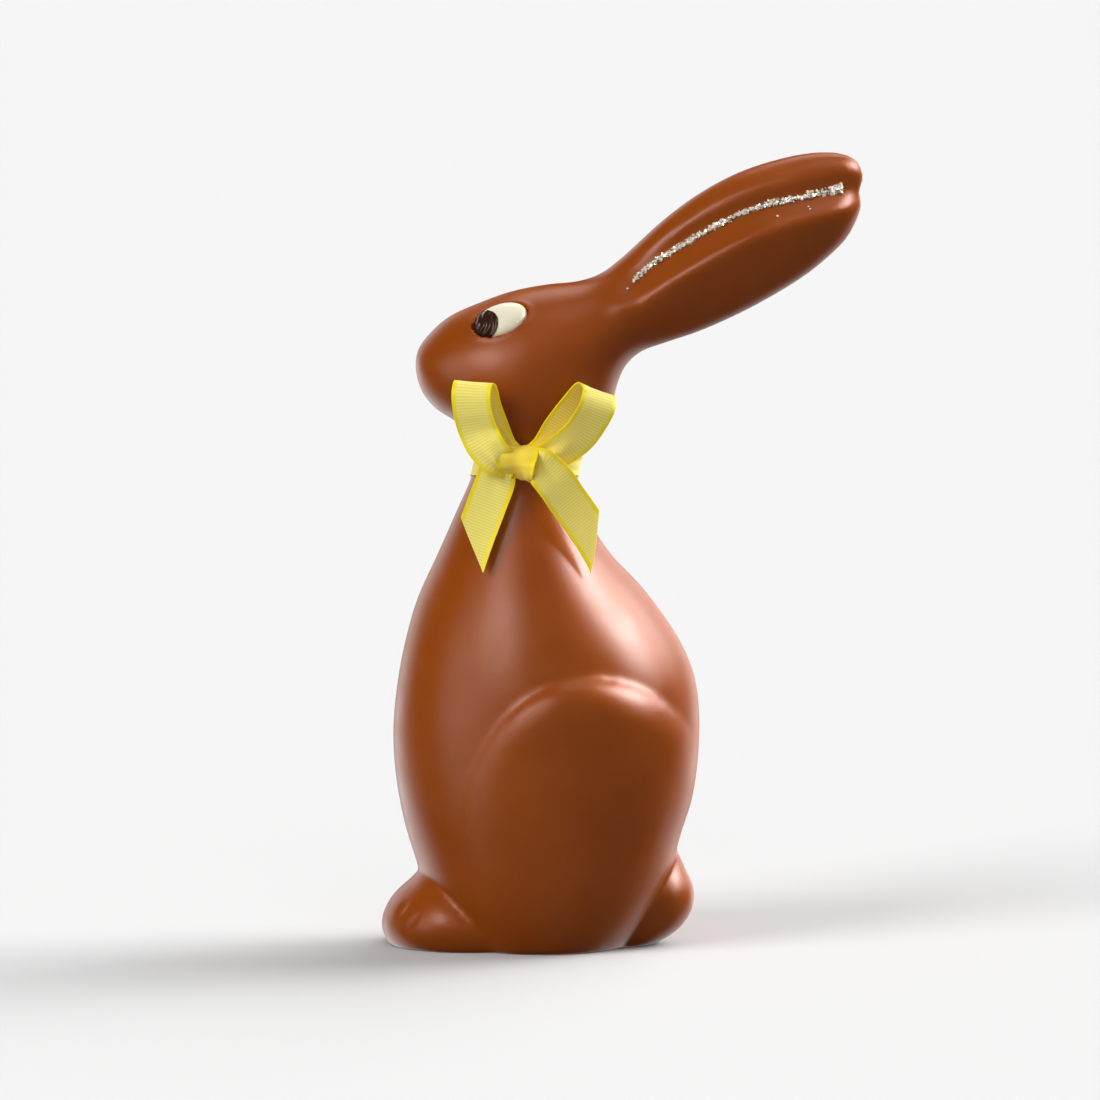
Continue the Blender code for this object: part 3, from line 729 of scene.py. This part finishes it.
def side_hit(tree, x, z, side):
    """Where the chocolate's side is at that place in side view, and its normal."""
    return tree.ray_cast(Vector((x * MM, side, z * MM)), Vector((0.0, -side, 0.0)))


def eye_placement(tree):
    """The left eye's placement: X along the oval, Z out of the head."""
    surface = side_hit(tree, *EYE_CENTRE, -1)[0]
    outward = Vector((-math.sin(EYE_TURN) * math.cos(EYE_LEAN),
                      -math.cos(EYE_TURN) * math.cos(EYE_LEAN), math.sin(EYE_LEAN)))
    level = Vector((math.cos(EYE_TILT), 0.0, math.sin(EYE_TILT)))
    along = (level - level.dot(outward) * outward).normalized()
    turn = Matrix((along, outward.cross(along), outward)).transposed().to_4x4()
    return Matrix.Translation(surface - outward * EYE_SUNK * MM) @ turn


def to_local(corners, placement):
    """Points as the eye's own axes see them, in millimetres."""
    return (corners - np.array(placement.translation)) @ np.array(placement.to_3x3()) / MM


def from_local(local, placement):
    return local * MM @ np.array(placement.to_3x3()).T + np.array(placement.translation)


def press_sockets(mesh, placement):
    corners = corners_of(mesh)
    for side in (1.0, -1.0):
        flip = np.array([1.0, side, 1.0])
        local = to_local(corners * flip, placement)
        reach = np.hypot(local[:, 0] / EYE_HALF[0], local[:, 1] / EYE_HALF[1])
        nearby = (reach < SOCKET_REACH) & (np.abs(local[:, 2]) < SOCKET_NEAR)
        bowl = np.sqrt(np.clip(1.0 - (reach / SOCKET_WIDER) ** 2, 0.0, 1.0))
        floor = -EYE_HALF[2] * bowl - SOCKET_GAP
        inside = nearby & (reach < 1.0)
        local[inside, 2] = np.minimum(local[inside, 2], floor[inside])
        lip = LIP_RISE * np.exp(-(((reach - LIP_AT) / LIP_WIDTH) ** 2))
        ring = nearby & (reach >= 1.0)
        local[ring, 2] += lip[ring]
        corners[nearby] = from_local(local[nearby], placement) * flip
    set_corners(mesh, corners)


cast_tree = surface_tree(chocolate)
eye_at = eye_placement(cast_tree)
press_sockets(chocolate.data, eye_at)
print("left eye at:", [round(c, 4) for c in eye_at.translation])

# %% [markdown]
# The feet have two short grooves for toes, pressed in once the cast is smooth. They are
# dents along short lines in side view, deepest in their middle. A brush could press them
# too, but a rule about the distance from a line makes both sides alike.

# %% Toes
TOE_GROOVES = [
    [(-31.4, 9.6), (-33.2, 7.4), (-35.4, 4.6)],
    [(-34.2, 12.2), (-35.6, 10.6), (-37.0, 8.4)],
]
TOE_DEPTH = 0.3
TOE_WIDTH = 0.75
TOES_BEYOND = 4.0
GROOVE_STEP = 0.2
GROOVE_FADE = 1.25
SHARP_FROM = math.radians(50)


def dent(mesh, line, width, depth, beyond):
    """Pushes the skin in along a line in side view, where it is further out than beyond."""
    corners = corners_of(mesh)
    normals = normals_of(mesh)
    path = spline(line, GROOVE_STEP, False) * MM
    apart = away(near(path), corners[:, ::2]) / MM
    ends = np.linalg.norm(path[-1] - path[0]) / 2 / MM
    middle = (path[0] + path[-1]) / 2
    along = np.linalg.norm(corners[:, ::2] - middle, axis=1) / MM
    fade = np.clip(GROOVE_FADE - along / ends, 0.0, 1.0)
    share = np.exp(-((apart / width) ** 2)) * fade * (np.abs(corners[:, 1]) > beyond * MM)
    set_corners(mesh, corners - normals * (share * depth * MM)[:, None])


def finish_piece(made, node):
    made.data.shade_smooth()
    made.data.set_sharp_from_angle(angle=SHARP_FROM)
    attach(made, "root")
    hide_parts(node)
    print(made.name, "has faces:", len(made.data.polygons))


for groove in TOE_GROOVES:
    dent(chocolate.data, groove, TOE_WIDTH, TOE_DEPTH, TOES_BEYOND)
chocolate.name = "bunny_chocolate"
finish_piece(chocolate, "chocolate_bunny")

# %% [markdown]
# The eye is a lens of white chocolate whose front end is a drop of dark chocolate. Both
# are the same lens, and a drum cuts one and keeps the other, so they share one outline.

# %% Eyes
PUPIL_FROM = -0.4
PUPIL_ROUND = 3.8
PUPIL_GAP = 0.12
PUPIL_DOME = 0.35
PIPING_PITCH = 1.7
PIPING_RISE = 0.16
PIPING_TURN = math.radians(50)
PIPING_BEND = 0.5
PIPING_FROM = 0.4
DRUM_DEPTH = 10.0
DRUM_SIDES = 160
LENS_SIDES = 96


def lens(name, placement, dome, skin):
    half = [h * MM for h in (EYE_HALF[0], EYE_HALF[1], EYE_HALF[2] + dome)]
    shape = bmesh.new()
    bmesh.ops.create_uvsphere(shape, u_segments=LENS_SIDES, v_segments=LENS_SIDES // 2, radius=1.0,
                              matrix=placement @ Matrix.Diagonal((*half, 1.0)))
    return object_of(name, shape, skin)


def pupil_drum(placement, grown):
    middle = PUPIL_FROM + grown - PUPIL_ROUND
    shape = bmesh.new()
    bmesh.ops.create_cone(shape, cap_ends=True, segments=DRUM_SIDES, depth=DRUM_DEPTH * MM,
                          radius1=PUPIL_ROUND * MM, radius2=PUPIL_ROUND * MM,
                          matrix=placement @ Matrix.Translation((middle * MM, 0.0, 0.0)))
    return object_of("pupil drum", shape, dark_chocolate)


def carve(made, operation, tool):
    cut = made.modifiers.new("carve", "BOOLEAN")
    cut.operation = operation
    cut.object = tool
    cut.solver = "EXACT"
    apply_modifiers(made)
    bpy.data.objects.remove(tool)


def other_side(made, name):
    mesh = made.data.copy()
    mesh.transform(Matrix.Diagonal((1.0, -1.0, 1.0, 1.0)))
    mesh.flip_normals()
    copy = bpy.data.objects.new(name, mesh)
    bpy.context.scene.collection.objects.link(copy)
    return copy


def pipe(made, placement):
    """Raises the soft ridges that the dark chocolate keeps from the nozzle's swing."""
    local = to_local(corners_of(made.data), placement)
    across = local[:, 0] * math.sin(PIPING_TURN) - local[:, 1] * math.cos(PIPING_TURN)
    along = local[:, 0] * math.cos(PIPING_TURN) + local[:, 1] * math.sin(PIPING_TURN)
    bend = PIPING_BEND * np.cos(along)
    ridge = PIPING_RISE * np.cos(2 * math.pi * (across + bend) / PIPING_PITCH)
    local[:, 2] += ridge * (local[:, 2] > PIPING_FROM)
    set_corners(made.data, from_local(local, placement))


def eyes(placement):
    white = lens("eyeball_left", placement, 0.0, white_chocolate)
    carve(white, "DIFFERENCE", pupil_drum(placement, PUPIL_GAP))
    drop = lens("eyedrop_left", placement, PUPIL_DOME, dark_chocolate)
    pipe(drop, placement)
    carve(drop, "INTERSECT", pupil_drum(placement, 0.0))
    finish_piece(other_side(white, "eyeball_right"), "eye_white_right")
    finish_piece(other_side(drop, "eyedrop_right"), "pupil_right")
    finish_piece(white, "eye_white_left")
    finish_piece(drop, "pupil_left")


eyes(eye_at)

# %% [markdown]
# Edible glitter is small hard flakes and crystals, no two alike. Scattering real little
# solids gives real sparkle, because each one mirrors a light of its own. The flakes lie
# in the ear's valley, a few deep, and spread out at the tip. A colour on each flake tells
# clear ones from golden and brown ones.

# %% Glitter
FLAKES_A_SIDE = 640
FLAKES_AT_TIP = 90
FLAKE_SIZE = (0.28, 0.62)
FLAKE_FLAT = 0.7
FLAKE_LIFT = 0.45
FLAKE_DRIFT = 0.3
FLAKE_TINTS = [(1.0, 0.98, 0.94), (0.88, 0.79, 0.60), (0.62, 0.52, 0.38), (0.26, 0.17, 0.09)]
TINT_SHARES = (0.55, 0.24, 0.12, 0.09)
GLITTER_SPREAD = (0.9, 1.5)
STRAY_FLAKES = [(66.0, 186.1), (65.6, 186.6), (58.0, 184.6), (20.6, 166.2)]
GLITTER_REACH = (0.015, 0.93)
GLITTER_METAL = 0.35
GLITTER_ROUGHNESS = 0.18
GLITTER_SEED = 7
TIP_SHARE = 0.04
TIP_SUDDENNESS = 12
VALLEY_STEP = 0.1


def glitter_skin():
    skin, tree, shader = new_skin("edible glitter")
    tint = wire(tree, "ShaderNodeVertexColor", layer_name="tint").outputs["Color"]
    feed(tree, shader, {"Base Color": tint, "Metallic": GLITTER_METAL,
                        "Roughness": GLITTER_ROUGHNESS})
    return skin


def flake(shape, tints, centre, size, turn, tint):
    """A squashed octahedron with one tint."""
    tops = [(1, 0, 0), (0, 1, 0), (-1, 0, 0), (0, -1, 0), (0, 0, FLAKE_FLAT), (0, 0, -FLAKE_FLAT)]
    corners = [shape.verts.new(centre + turn @ Vector(t) * size) for t in tops]
    for i in range(4):
        this, following = corners[i], corners[(i + 1) % 4]
        for ring in ((this, following, corners[4]), (following, this, corners[5])):
            for loop in shape.faces.new(ring).loops:
                loop[tints] = (*tint, 1.0)


def scatter_glitter(tree):
    draw = random.Random(GLITTER_SEED)
    line = spline(EAR_VALLEY, VALLEY_STEP, False)
    shape = bmesh.new()
    tints = shape.loops.layers.float_color.new("tint")
    for side in (-1, 1):
        places = [tuple(stray) for stray in STRAY_FLAKES]
        for i in range(FLAKES_A_SIDE + FLAKES_AT_TIP):
            share = min((i + draw.random()) / FLAKES_A_SIDE, 1.0 - draw.uniform(0.0, TIP_SHARE))
            reach = GLITTER_REACH[0] + share * (GLITTER_REACH[1] - GLITTER_REACH[0])
            at_tip = share**TIP_SUDDENNESS
            spread = GLITTER_SPREAD[0] + at_tip * (GLITTER_SPREAD[1] - GLITTER_SPREAD[0])
            x, z = line[int(reach * (len(line) - 1))]
            x += draw.uniform(-FLAKE_DRIFT, FLAKE_DRIFT)
            places.append((x, z + draw.triangular(-spread, spread, 0.0)))
        for x, z in places:
            hit, normal = side_hit(tree, x, z, side)[:2]
            size = draw.uniform(*FLAKE_SIZE) * MM
            axis = Vector([draw.gauss(0.0, 1.0) for _ in range(3)]).normalized()
            turn = Matrix.Rotation(draw.uniform(0.0, math.pi), 3, axis)
            tint = draw.choices(FLAKE_TINTS, TINT_SHARES)[0]
            lift = draw.uniform(0.0, FLAKE_LIFT) * MM
            flake(shape, tints, hit + normal * lift, size, turn, tint)
    glitter = object_of("ear_glitter", shape, glitter_skin())
    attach(glitter, "root")
    print("glitter flakes:", 2 * (FLAKES_A_SIDE + FLAKES_AT_TIP + len(STRAY_FLAKES)))


scatter_glitter(cast_tree)

# %% [markdown]
# The ribbon is grosgrain, a band with ribs across it and a satin stripe along each edge.
# It is thin and stiff enough to hold its curves, so it is built as strips that follow a
# route through space. A strip's grid keeps how far along and how far across each point
# is, the ribs are real waves of its surface, and the material reads the same numbers to
# paint shade into the grooves between them. Where the ribbon is gathered, painted shade
# turns it golden rather than yellow, standing in for the light its folds hold back. Cloth
# this thin lets light through, so the shader scatters some of it below the surface.

# %% Ribbon material
RIB_PITCH = 0.72
RIBBON_WIDTH = 10.0
SATIN_EDGE = 0.80
UV_LENGTH = 100.0
SATIN_BLUR = 0.015
# The grooves' yellow is painted shade: the ribs' yellow, darkened where the grooves sink.
GROOVE_SHADE_YELLOW = (0.95, 0.72, 0.12, 1.0)
RIB_YELLOW = (1.0, 0.88, 0.26, 1.0)
# Painted shade: gathered ribbon is coloured this deeper gold for the light its folds hold back.
FOLD_SHADE_GOLD = (1.0, 0.68, 0.06, 1.0)
SATIN_YELLOW = (1.0, 0.75, 0.004, 1.0)
RIB_TO_SATIN_ROUGHNESS = (0.62, 0.40)
CLOTH_SHEEN = 0.25
CLOTH_THINNESS = 0.5
GLOW_TINT = (1.0, 0.8, 0.25)
CLOTH_GLOW = 0.001


def ribbon_skin():
    skin, tree, shader = new_skin("yellow ribbon")
    place = wire(tree, "ShaderNodeUVMap", uv_map="cloth").outputs["UV"]
    parts = wire(tree, "ShaderNodeSeparateXYZ", {0: place}).outputs
    from_middle = number(tree, "ABSOLUTE", number(tree, "SUBTRACT", parts["X"], 0.5))
    edge = (SATIN_EDGE / 2 - SATIN_BLUR, SATIN_EDGE / 2 + SATIN_BLUR)
    satin = stretch(tree, from_middle, edge, (0.0, 1.0))
    turns = number(tree, "MULTIPLY", parts["Y"], 2 * math.pi * UV_LENGTH / RIB_PITCH)
    # Painted shade in the grooves between the ribs, following the same waves as the surface.
    raised = stretch(tree, number(tree, "COSINE", turns), (-1.0, 1.0), (0.0, 1.0))
    # The painted fold shade, read from the ribbon's colour layer.
    fold_shade = wire(tree, "ShaderNodeVertexColor", layer_name="fold_shade").outputs["Color"]
    cloth = mix(tree, raised, GROOVE_SHADE_YELLOW, RIB_YELLOW)
    cloth = mix(tree, fold_shade, cloth, FOLD_SHADE_GOLD)
    cloth = mix(tree, satin, cloth, SATIN_YELLOW)
    roughness = stretch(tree, satin, (0.0, 1.0), RIB_TO_SATIN_ROUGHNESS)
    feed(tree, shader, {"Base Color": cloth, "Roughness": roughness, "Sheen Weight": CLOTH_SHEEN,
                        "Subsurface Weight": CLOTH_THINNESS, "Subsurface Radius": GLOW_TINT,
                        "Subsurface Scale": CLOTH_GLOW})
    return skin


yellow_ribbon = ribbon_skin()
print("material:", yellow_ribbon.name)

# %% [markdown]
# A route is a list of stations. Each gives the ribbon's middle from the knot, the way
# across it, its gathered width, how much it cups, and how deep its pleats are. A curve with
# a flat bevel could give plain loops, but no ribbon that narrows, cups and pleats on its way.

# %% Strips of ribbon
KNOT_CENTRE = (-5.8, -16.1, 124.1)
RIBBON_HALF = 0.16
RIB_HEIGHT = 0.03
ROW_STEP = RIB_PITCH / 4
COLUMNS = 16
PLEATS = 2.0
# How much painted fold shade each millimetre of gathering adds.
FOLD_SHADE_PER_MM = 0.16
RIB_FADE = 0.06
TANGENT_STEP = 0.4
ROUTE_STEP = 0.1
NORMAL_STEP = 0.2
NORMAL_STEP_ACROSS = 0.03


def unit(vectors):
    return vectors / np.linalg.norm(vectors, axis=-1)[..., None]


def strip(shape, grid, normals, along, fold_shade):
    """Adds a closed strip to the bmesh: the grid's front, its back and its four edges."""
    rows, columns = grid.shape[:2]
    across = np.linspace(-1.0, 1.0, columns)[None, :] * np.ones((rows, 1))
    inner = np.clip((SATIN_EDGE - np.abs(across)) / RIB_FADE, 0.0, 1.0)
    rib = RIB_HEIGHT * inner * (0.5 + 0.5 * np.cos(2 * math.pi * along / RIB_PITCH))
    half = (RIBBON_HALF + rib)[:, :, None]
    cloth = shape.loops.layers.uv.verify()
    # A colour layer carries the painted fold shade to the material.
    fold_shade_layer = shape.loops.layers.float_color["fold_shade"]
    spots = np.stack([(across + 1) / 2, along / UV_LENGTH], axis=2).reshape(-1, 2)
    sheets = []
    for sign in (1, -1):
        points = ((grid + sign * normals * half) * MM).reshape(-1, 3)
        sheets.append([shape.verts.new(p) for p in points])
    front, back = sheets

    def face(ring, numbers):
        if len(set(ring)) < 3:
            return
        made = shape.faces.new(ring)
        for loop, number in zip(made.loops, numbers):
            loop[cloth].uv = spots[number]
            share = fold_shade[number // columns]
            loop[fold_shade_layer] = (share, share, share, 1.0)

    def at(i, k):
        return i * columns + k

    for i in range(rows - 1):
        for k in range(columns - 1):
            numbers = [at(i, k), at(i + 1, k), at(i + 1, k + 1), at(i, k + 1)]
            face([front[n] for n in numbers], numbers)
            face([back[n] for n in numbers[::-1]], numbers[::-1])
    rim = [at(i, 0) for i in range(rows)] + [at(rows - 1, k) for k in range(1, columns)]
    rim += [at(i, columns - 1) for i in range(rows - 2, -1, -1)]
    rim += [at(0, k) for k in range(columns - 2, 0, -1)]
    for a, b in zip(rim, rim[1:] + rim[:1]):
        face([front[b], front[a], back[a], back[b]], [b, a, a, b])


def at_length(route, length, along):
    """The route's values so far along it."""
    return np.stack([np.interp(along, length, axis) for axis in route.T], axis=-1)


def cloth_points(route, length, along, across):
    """The ribbon's points so far along its route and so far across it, from -1 to 1."""
    values = at_length(route, length, along)
    tangent = unit(at_length(route[:, :3], length, along + TANGENT_STEP)
                   - at_length(route[:, :3], length, along - TANGENT_STEP))
    side = values[..., 3:6]
    side = unit(side - (side * tangent).sum(axis=-1)[..., None] * tangent)
    out = np.cross(tangent, side)
    width, cup, pleat = (values[..., k] for k in (6, 7, 8))
    bulge = cup * (1.0 - across**2) + pleat * np.cos(PLEATS * math.pi * across)
    points = values[..., :3] + side * (width / 2 * across)[..., None] + out * bulge[..., None]
    return np.stack([KNOT_CENTRE[0] + points[..., 0], KNOT_CENTRE[1] - points[..., 1],
                     KNOT_CENTRE[2] + points[..., 2]], axis=-1)


def routed_grid(stations, cut=(0.0, 0.0)):
    """Points, normals, lengths and painted fold shade of a run of ribbon whose edges end so much
    shorter.
    """
    corners = [(*place, *across, *form) for place, across, *form in stations]
    route = spline(corners, ROUTE_STEP, False)
    steps = np.linalg.norm(np.diff(route[:, :3], axis=0), axis=1)
    length = np.concatenate([[0.0], np.cumsum(steps)])
    rows = round(length[-1] / ROW_STEP)
    across = np.linspace(-1.0, 1.0, COLUMNS)[None, :] * np.ones((rows + 1, 1))
    ends = length[-1] - np.interp(across, (-1.0, 1.0), cut)
    along = np.minimum(np.linspace(0.0, length[-1], rows + 1)[:, None], ends)
    grid = cloth_points(route, length, along, across)
    inner = np.clip(along, NORMAL_STEP, length[-1] - NORMAL_STEP)
    onward = (cloth_points(route, length, inner + NORMAL_STEP, across)
              - cloth_points(route, length, inner - NORMAL_STEP, across))
    sideways = (cloth_points(route, length, inner, across + NORMAL_STEP_ACROSS)
                - cloth_points(route, length, inner, across - NORMAL_STEP_ACROSS))
    widths = np.interp(along[:, COLUMNS // 2], length, route[:, 6])
    # The narrower the ribbon is gathered, the more painted fold shade it gets.
    fold_shade = np.clip((RIBBON_WIDTH - widths) * FOLD_SHADE_PER_MM, 0.0, 1.0)
    return grid, unit(np.cross(onward, sideways)), along, fold_shade


# %% [markdown]
# The photo gives the way each loop and tail goes in side view. Where the ribbon looks
# narrow it is turned away, and what hides what tells how far it stands off the chest. In
# these lists, Y grows towards the camera.

# %% The bow's loops and tails
LEFT_LOOP = [
    ((-2.2, 1.4, -0.2), (0.35, 0.10, 0.93), 6.4, 0.2, 0.7),
    ((-5.6, 3.6, 0.7), (0.60, 0.12, 0.79), 8.2, 1.3, 0.6),
    ((-8.3, 4.0, 3.6), (0.84, 0.22, 0.49), 9.6, 0.9, 0.25),
    ((-10.7, 3.8, 7.8), (0.95, 0.24, 0.18), 10.0, 0.0, 0.0),
    ((-12.2, 5.4, 13.0), (0.96, 0.26, 0.06), 10.0, 0.0, 0.0),
    ((-12.6, 5.8, 17.6), (0.96, 0.27, -0.03), 10.0, 0.0, 0.0),
    ((-12.0, 4.2, 20.2), (0.96, 0.27, -0.04), 10.0, 0.0, 0.0),
    ((-11.0, 1.8, 19.0), (0.95, 0.30, 0.02), 10.0, 0.0, 0.0),
    ((-9.7, 0.4, 13.6), (0.93, 0.33, 0.18), 10.0, 0.0, 0.0),
    ((-7.6, 0.0, 8.0), (0.91, 0.30, 0.28), 9.6, 0.0, 0.1),
    ((-4.8, 0.0, 3.2), (0.90, 0.25, 0.35), 8.0, 0.0, 0.3),
    ((0.0, 0.0, 0.0), (0.93, 0.20, 0.30), 5.6, 0.0, 0.4),
]
RIGHT_LOOP = [
    ((2.0, 0.6, 0.8), (0.20, -0.20, -0.96), 6.0, 0.2, 0.7),
    ((5.6, 2.4, 1.6), (0.36, -0.30, -0.88), 7.4, 1.0, 0.6),
    ((9.6, 3.1, 3.3), (0.58, -0.38, -0.72), 9.2, 0.9, 0.25),
    ((13.8, 3.6, 6.4), (0.78, -0.40, -0.48), 10.0, 0.2, 0.0),
    ((16.8, 4.8, 10.4), (0.84, -0.42, -0.34), 10.0, 0.0, 0.0),
    ((18.9, 5.0, 14.6), (0.84, -0.42, -0.34), 10.0, 0.0, 0.0),
    ((19.2, 3.6, 17.4), (0.82, -0.45, -0.35), 10.0, 0.0, 0.0),
    ((17.4, 1.4, 18.2), (0.74, -0.55, -0.38), 10.0, 0.0, 0.0),
    ((13.8, 0.2, 14.4), (0.68, -0.60, -0.42), 10.0, 0.0, 0.0),
    ((9.6, 0.0, 8.6), (0.72, -0.56, -0.42), 10.0, 0.0, 0.0),
    ((5.6, 0.0, 3.4), (0.78, -0.50, -0.38), 8.0, 0.0, 0.2),
    ((0.0, 0.0, 0.0), (0.85, -0.40, -0.30), 5.6, 0.0, 0.4),
]
LEFT_TAIL = [
    ((-2.0, 0.2, 0.2), (0.90, 0.10, -0.42), 6.4, 0.0, 0.5),
    ((-5.6, 2.2, -1.0), (0.93, 0.10, -0.34), 9.0, 0.6, 0.5),
    ((-6.6, 1.0, -5.0), (0.94, 0.12, -0.32), 9.9, 0.2, 0.15),
    ((-8.8, 1.1, -11.0), (0.93, 0.14, -0.34), 10.0, 0.2, 0.0),
    ((-11.6, 2.1, -18.4), (0.93, 0.16, -0.33), 10.0, 0.3, 0.0),
    ((-14.6, 3.4, -27.0), (0.93, 0.18, -0.33), 10.0, 0.3, 0.0),
    ((-15.7, 3.8, -30.2), (0.93, 0.18, -0.33), 10.0, 0.3, 0.0),
]
RIGHT_TAIL = [
    ((1.6, 3.0, -0.2), (0.10, 0.00, 1.00), 7.6, 0.2, 0.5),
    ((4.6, 5.6, -0.6), (0.28, -0.02, 0.96), 9.2, 1.3, 0.3),
    ((8.1, 5.0, -4.2), (0.64, -0.10, 0.76), 10.0, 0.9, 0.1),
    ((11.5, 2.6, -9.5), (0.79, -0.18, 0.58), 10.0, 0.3, 0.0),
    ((15.5, 1.0, -15.4), (0.80, -0.22, 0.56), 10.0, 0.3, 0.0),
    ((19.3, 0.1, -21.4), (0.80, -0.22, 0.56), 10.0, 0.3, 0.0),
    ((23.1, -0.1, -28.6), (0.80, -0.22, 0.56), 10.0, 0.3, 0.0),
]
LEFT_TAIL_CUT = (15.6, 4.4)
RIGHT_TAIL_CUT = (3.3, 15.6)
print("stations:", len(LEFT_LOOP + RIGHT_LOOP + LEFT_TAIL + RIGHT_TAIL))

# %% [markdown]
# The turn round the neck finds the chocolate with rays from all sides, so that it lies on
# it everywhere. It is folded narrower than the ribbon. The knot is a tight ring of ribbon
# round the ends of the loops, and rests against that turn.

# %% The turn round the neck and the knot
NECK_MIDDLE = (-4.6, 0.0, 120.6)
BAND_WIDTH = 4.8
BAND_SLOPE = math.radians(13)
BAND_ROWS = 380
BAND_CLEAR = 0.22
BAND_PLEAT = 0.08
# The turn round the neck gets a little painted fold shade all along.
BAND_FOLD_SHADE = 0.3
RAYS_FROM = 20.0
WELD_WITHIN = 2e-6
CLOTH_SHARP_FROM = math.radians(60)
KNOT = [
    ((-0.6, -2.6, 0.6), (1.0, 0.0, 0.0), 6.0, 0.0, 0.1),
    ((-1.0, -1.0, 3.6), (1.0, 0.0, -0.02), 10.0, 0.0, 0.2),
    ((-1.0, 2.8, 3.9), (1.0, 0.05, -0.03), 10.6, 0.5, 0.16),
    ((-1.4, 5.6, 2.0), (0.99, 0.06, -0.06), 10.6, 1.0, 0.20),
    ((-1.3, 6.2, -0.2), (0.97, 0.06, -0.16), 9.8, 1.1, 0.20),
    ((-0.7, 5.4, -2.1), (0.92, 0.05, -0.34), 8.0, 0.9, 0.16),
    ((0.3, 3.6, -3.6), (0.88, 0.0, -0.46), 5.6, 0.2, 0.20),
    ((1.0, 1.0, -4.6), (0.95, 0.0, -0.20), 4.4, 0.0, 0.1),
    ((0.4, -1.6, -3.0), (1.0, 0.0, 0.0), 4.6, 0.0, 0.1),
    ((-0.6, -2.6, 0.6), (1.0, 0.0, 0.0), 6.0, 0.0, 0.1),
]


def neck_grid(tree):
    middle = Vector(NECK_MIDDLE)
    across = np.linspace(-1.0, 1.0, COLUMNS)
    grid = np.zeros((BAND_ROWS, COLUMNS, 3))
    for i in range(BAND_ROWS):
        turn = 2 * math.pi * i / (BAND_ROWS - 1)
        outward = Vector((math.cos(turn), math.sin(turn), 0.0))
        level = -math.sin(turn) * RIBBON_WIDTH * math.tan(BAND_SLOPE)
        for k, t in enumerate(across):
            rise = level + t * BAND_WIDTH / 2
            axis = middle + Vector((0.0, 0.0, rise))
            gap = tree.ray_cast((axis + outward * RAYS_FROM) * MM, -outward)[3] / MM
            pleat = BAND_PLEAT * (1 + math.cos(2 * math.pi * t))
            grid[i, k] = axis + outward * (RAYS_FROM - gap + BAND_CLEAR + pleat)
    steps = np.linalg.norm(np.diff(grid[:, COLUMNS // 2], axis=0), axis=1)
    along = np.concatenate([[0.0], np.cumsum(steps)])
    normals = unit(np.cross(np.gradient(grid, axis=0), np.gradient(grid, axis=1)))
    return grid, normals, along[:, None] * np.ones((1, COLUMNS)), np.full(BAND_ROWS, BAND_FOLD_SHADE)


def knot_grid():
    """The knot is pulled so tight that its ribs close up, so none are drawn on it. It gets the
    full painted fold shade.
    """
    grid, normals, along, fold_shade = routed_grid(KNOT)
    return grid, normals, 0.0 * along, np.ones(len(fold_shade))


def bow_runs(tree):
    return {
        "neck band": neck_grid(tree),
        "left loop": routed_grid(LEFT_LOOP),
        "right loop": routed_grid(RIGHT_LOOP),
        "left tail": routed_grid(LEFT_TAIL, LEFT_TAIL_CUT),
        "right tail": routed_grid(RIGHT_TAIL, RIGHT_TAIL_CUT),
        "knot": knot_grid(),
    }


def tie_bow(tree):
    shape = bmesh.new()
    shape.loops.layers.uv.new("cloth")
    shape.loops.layers.float_color.new("fold_shade")
    for name, (grid, normals, along, fold_shade) in bow_runs(tree).items():
        strip(shape, grid, normals, along, fold_shade)
        print(name, "length in mm:", round(float(along.max()), 1))
    bmesh.ops.remove_doubles(shape, verts=shape.verts, dist=WELD_WITHIN)
    bmesh.ops.recalc_face_normals(shape, faces=shape.faces)
    bow = object_of("ribbon_bow", shape, yellow_ribbon)
    bow.data.shade_smooth()
    bow.data.set_sharp_from_angle(angle=CLOTH_SHARP_FROM)
    print("ribbon area in square mm:", round(sum(p.area for p in bow.data.polygons) / 2 / MM**2))
    return bow


bow = tie_bow(cast_tree)
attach(bow, "root")
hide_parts("ribbon")
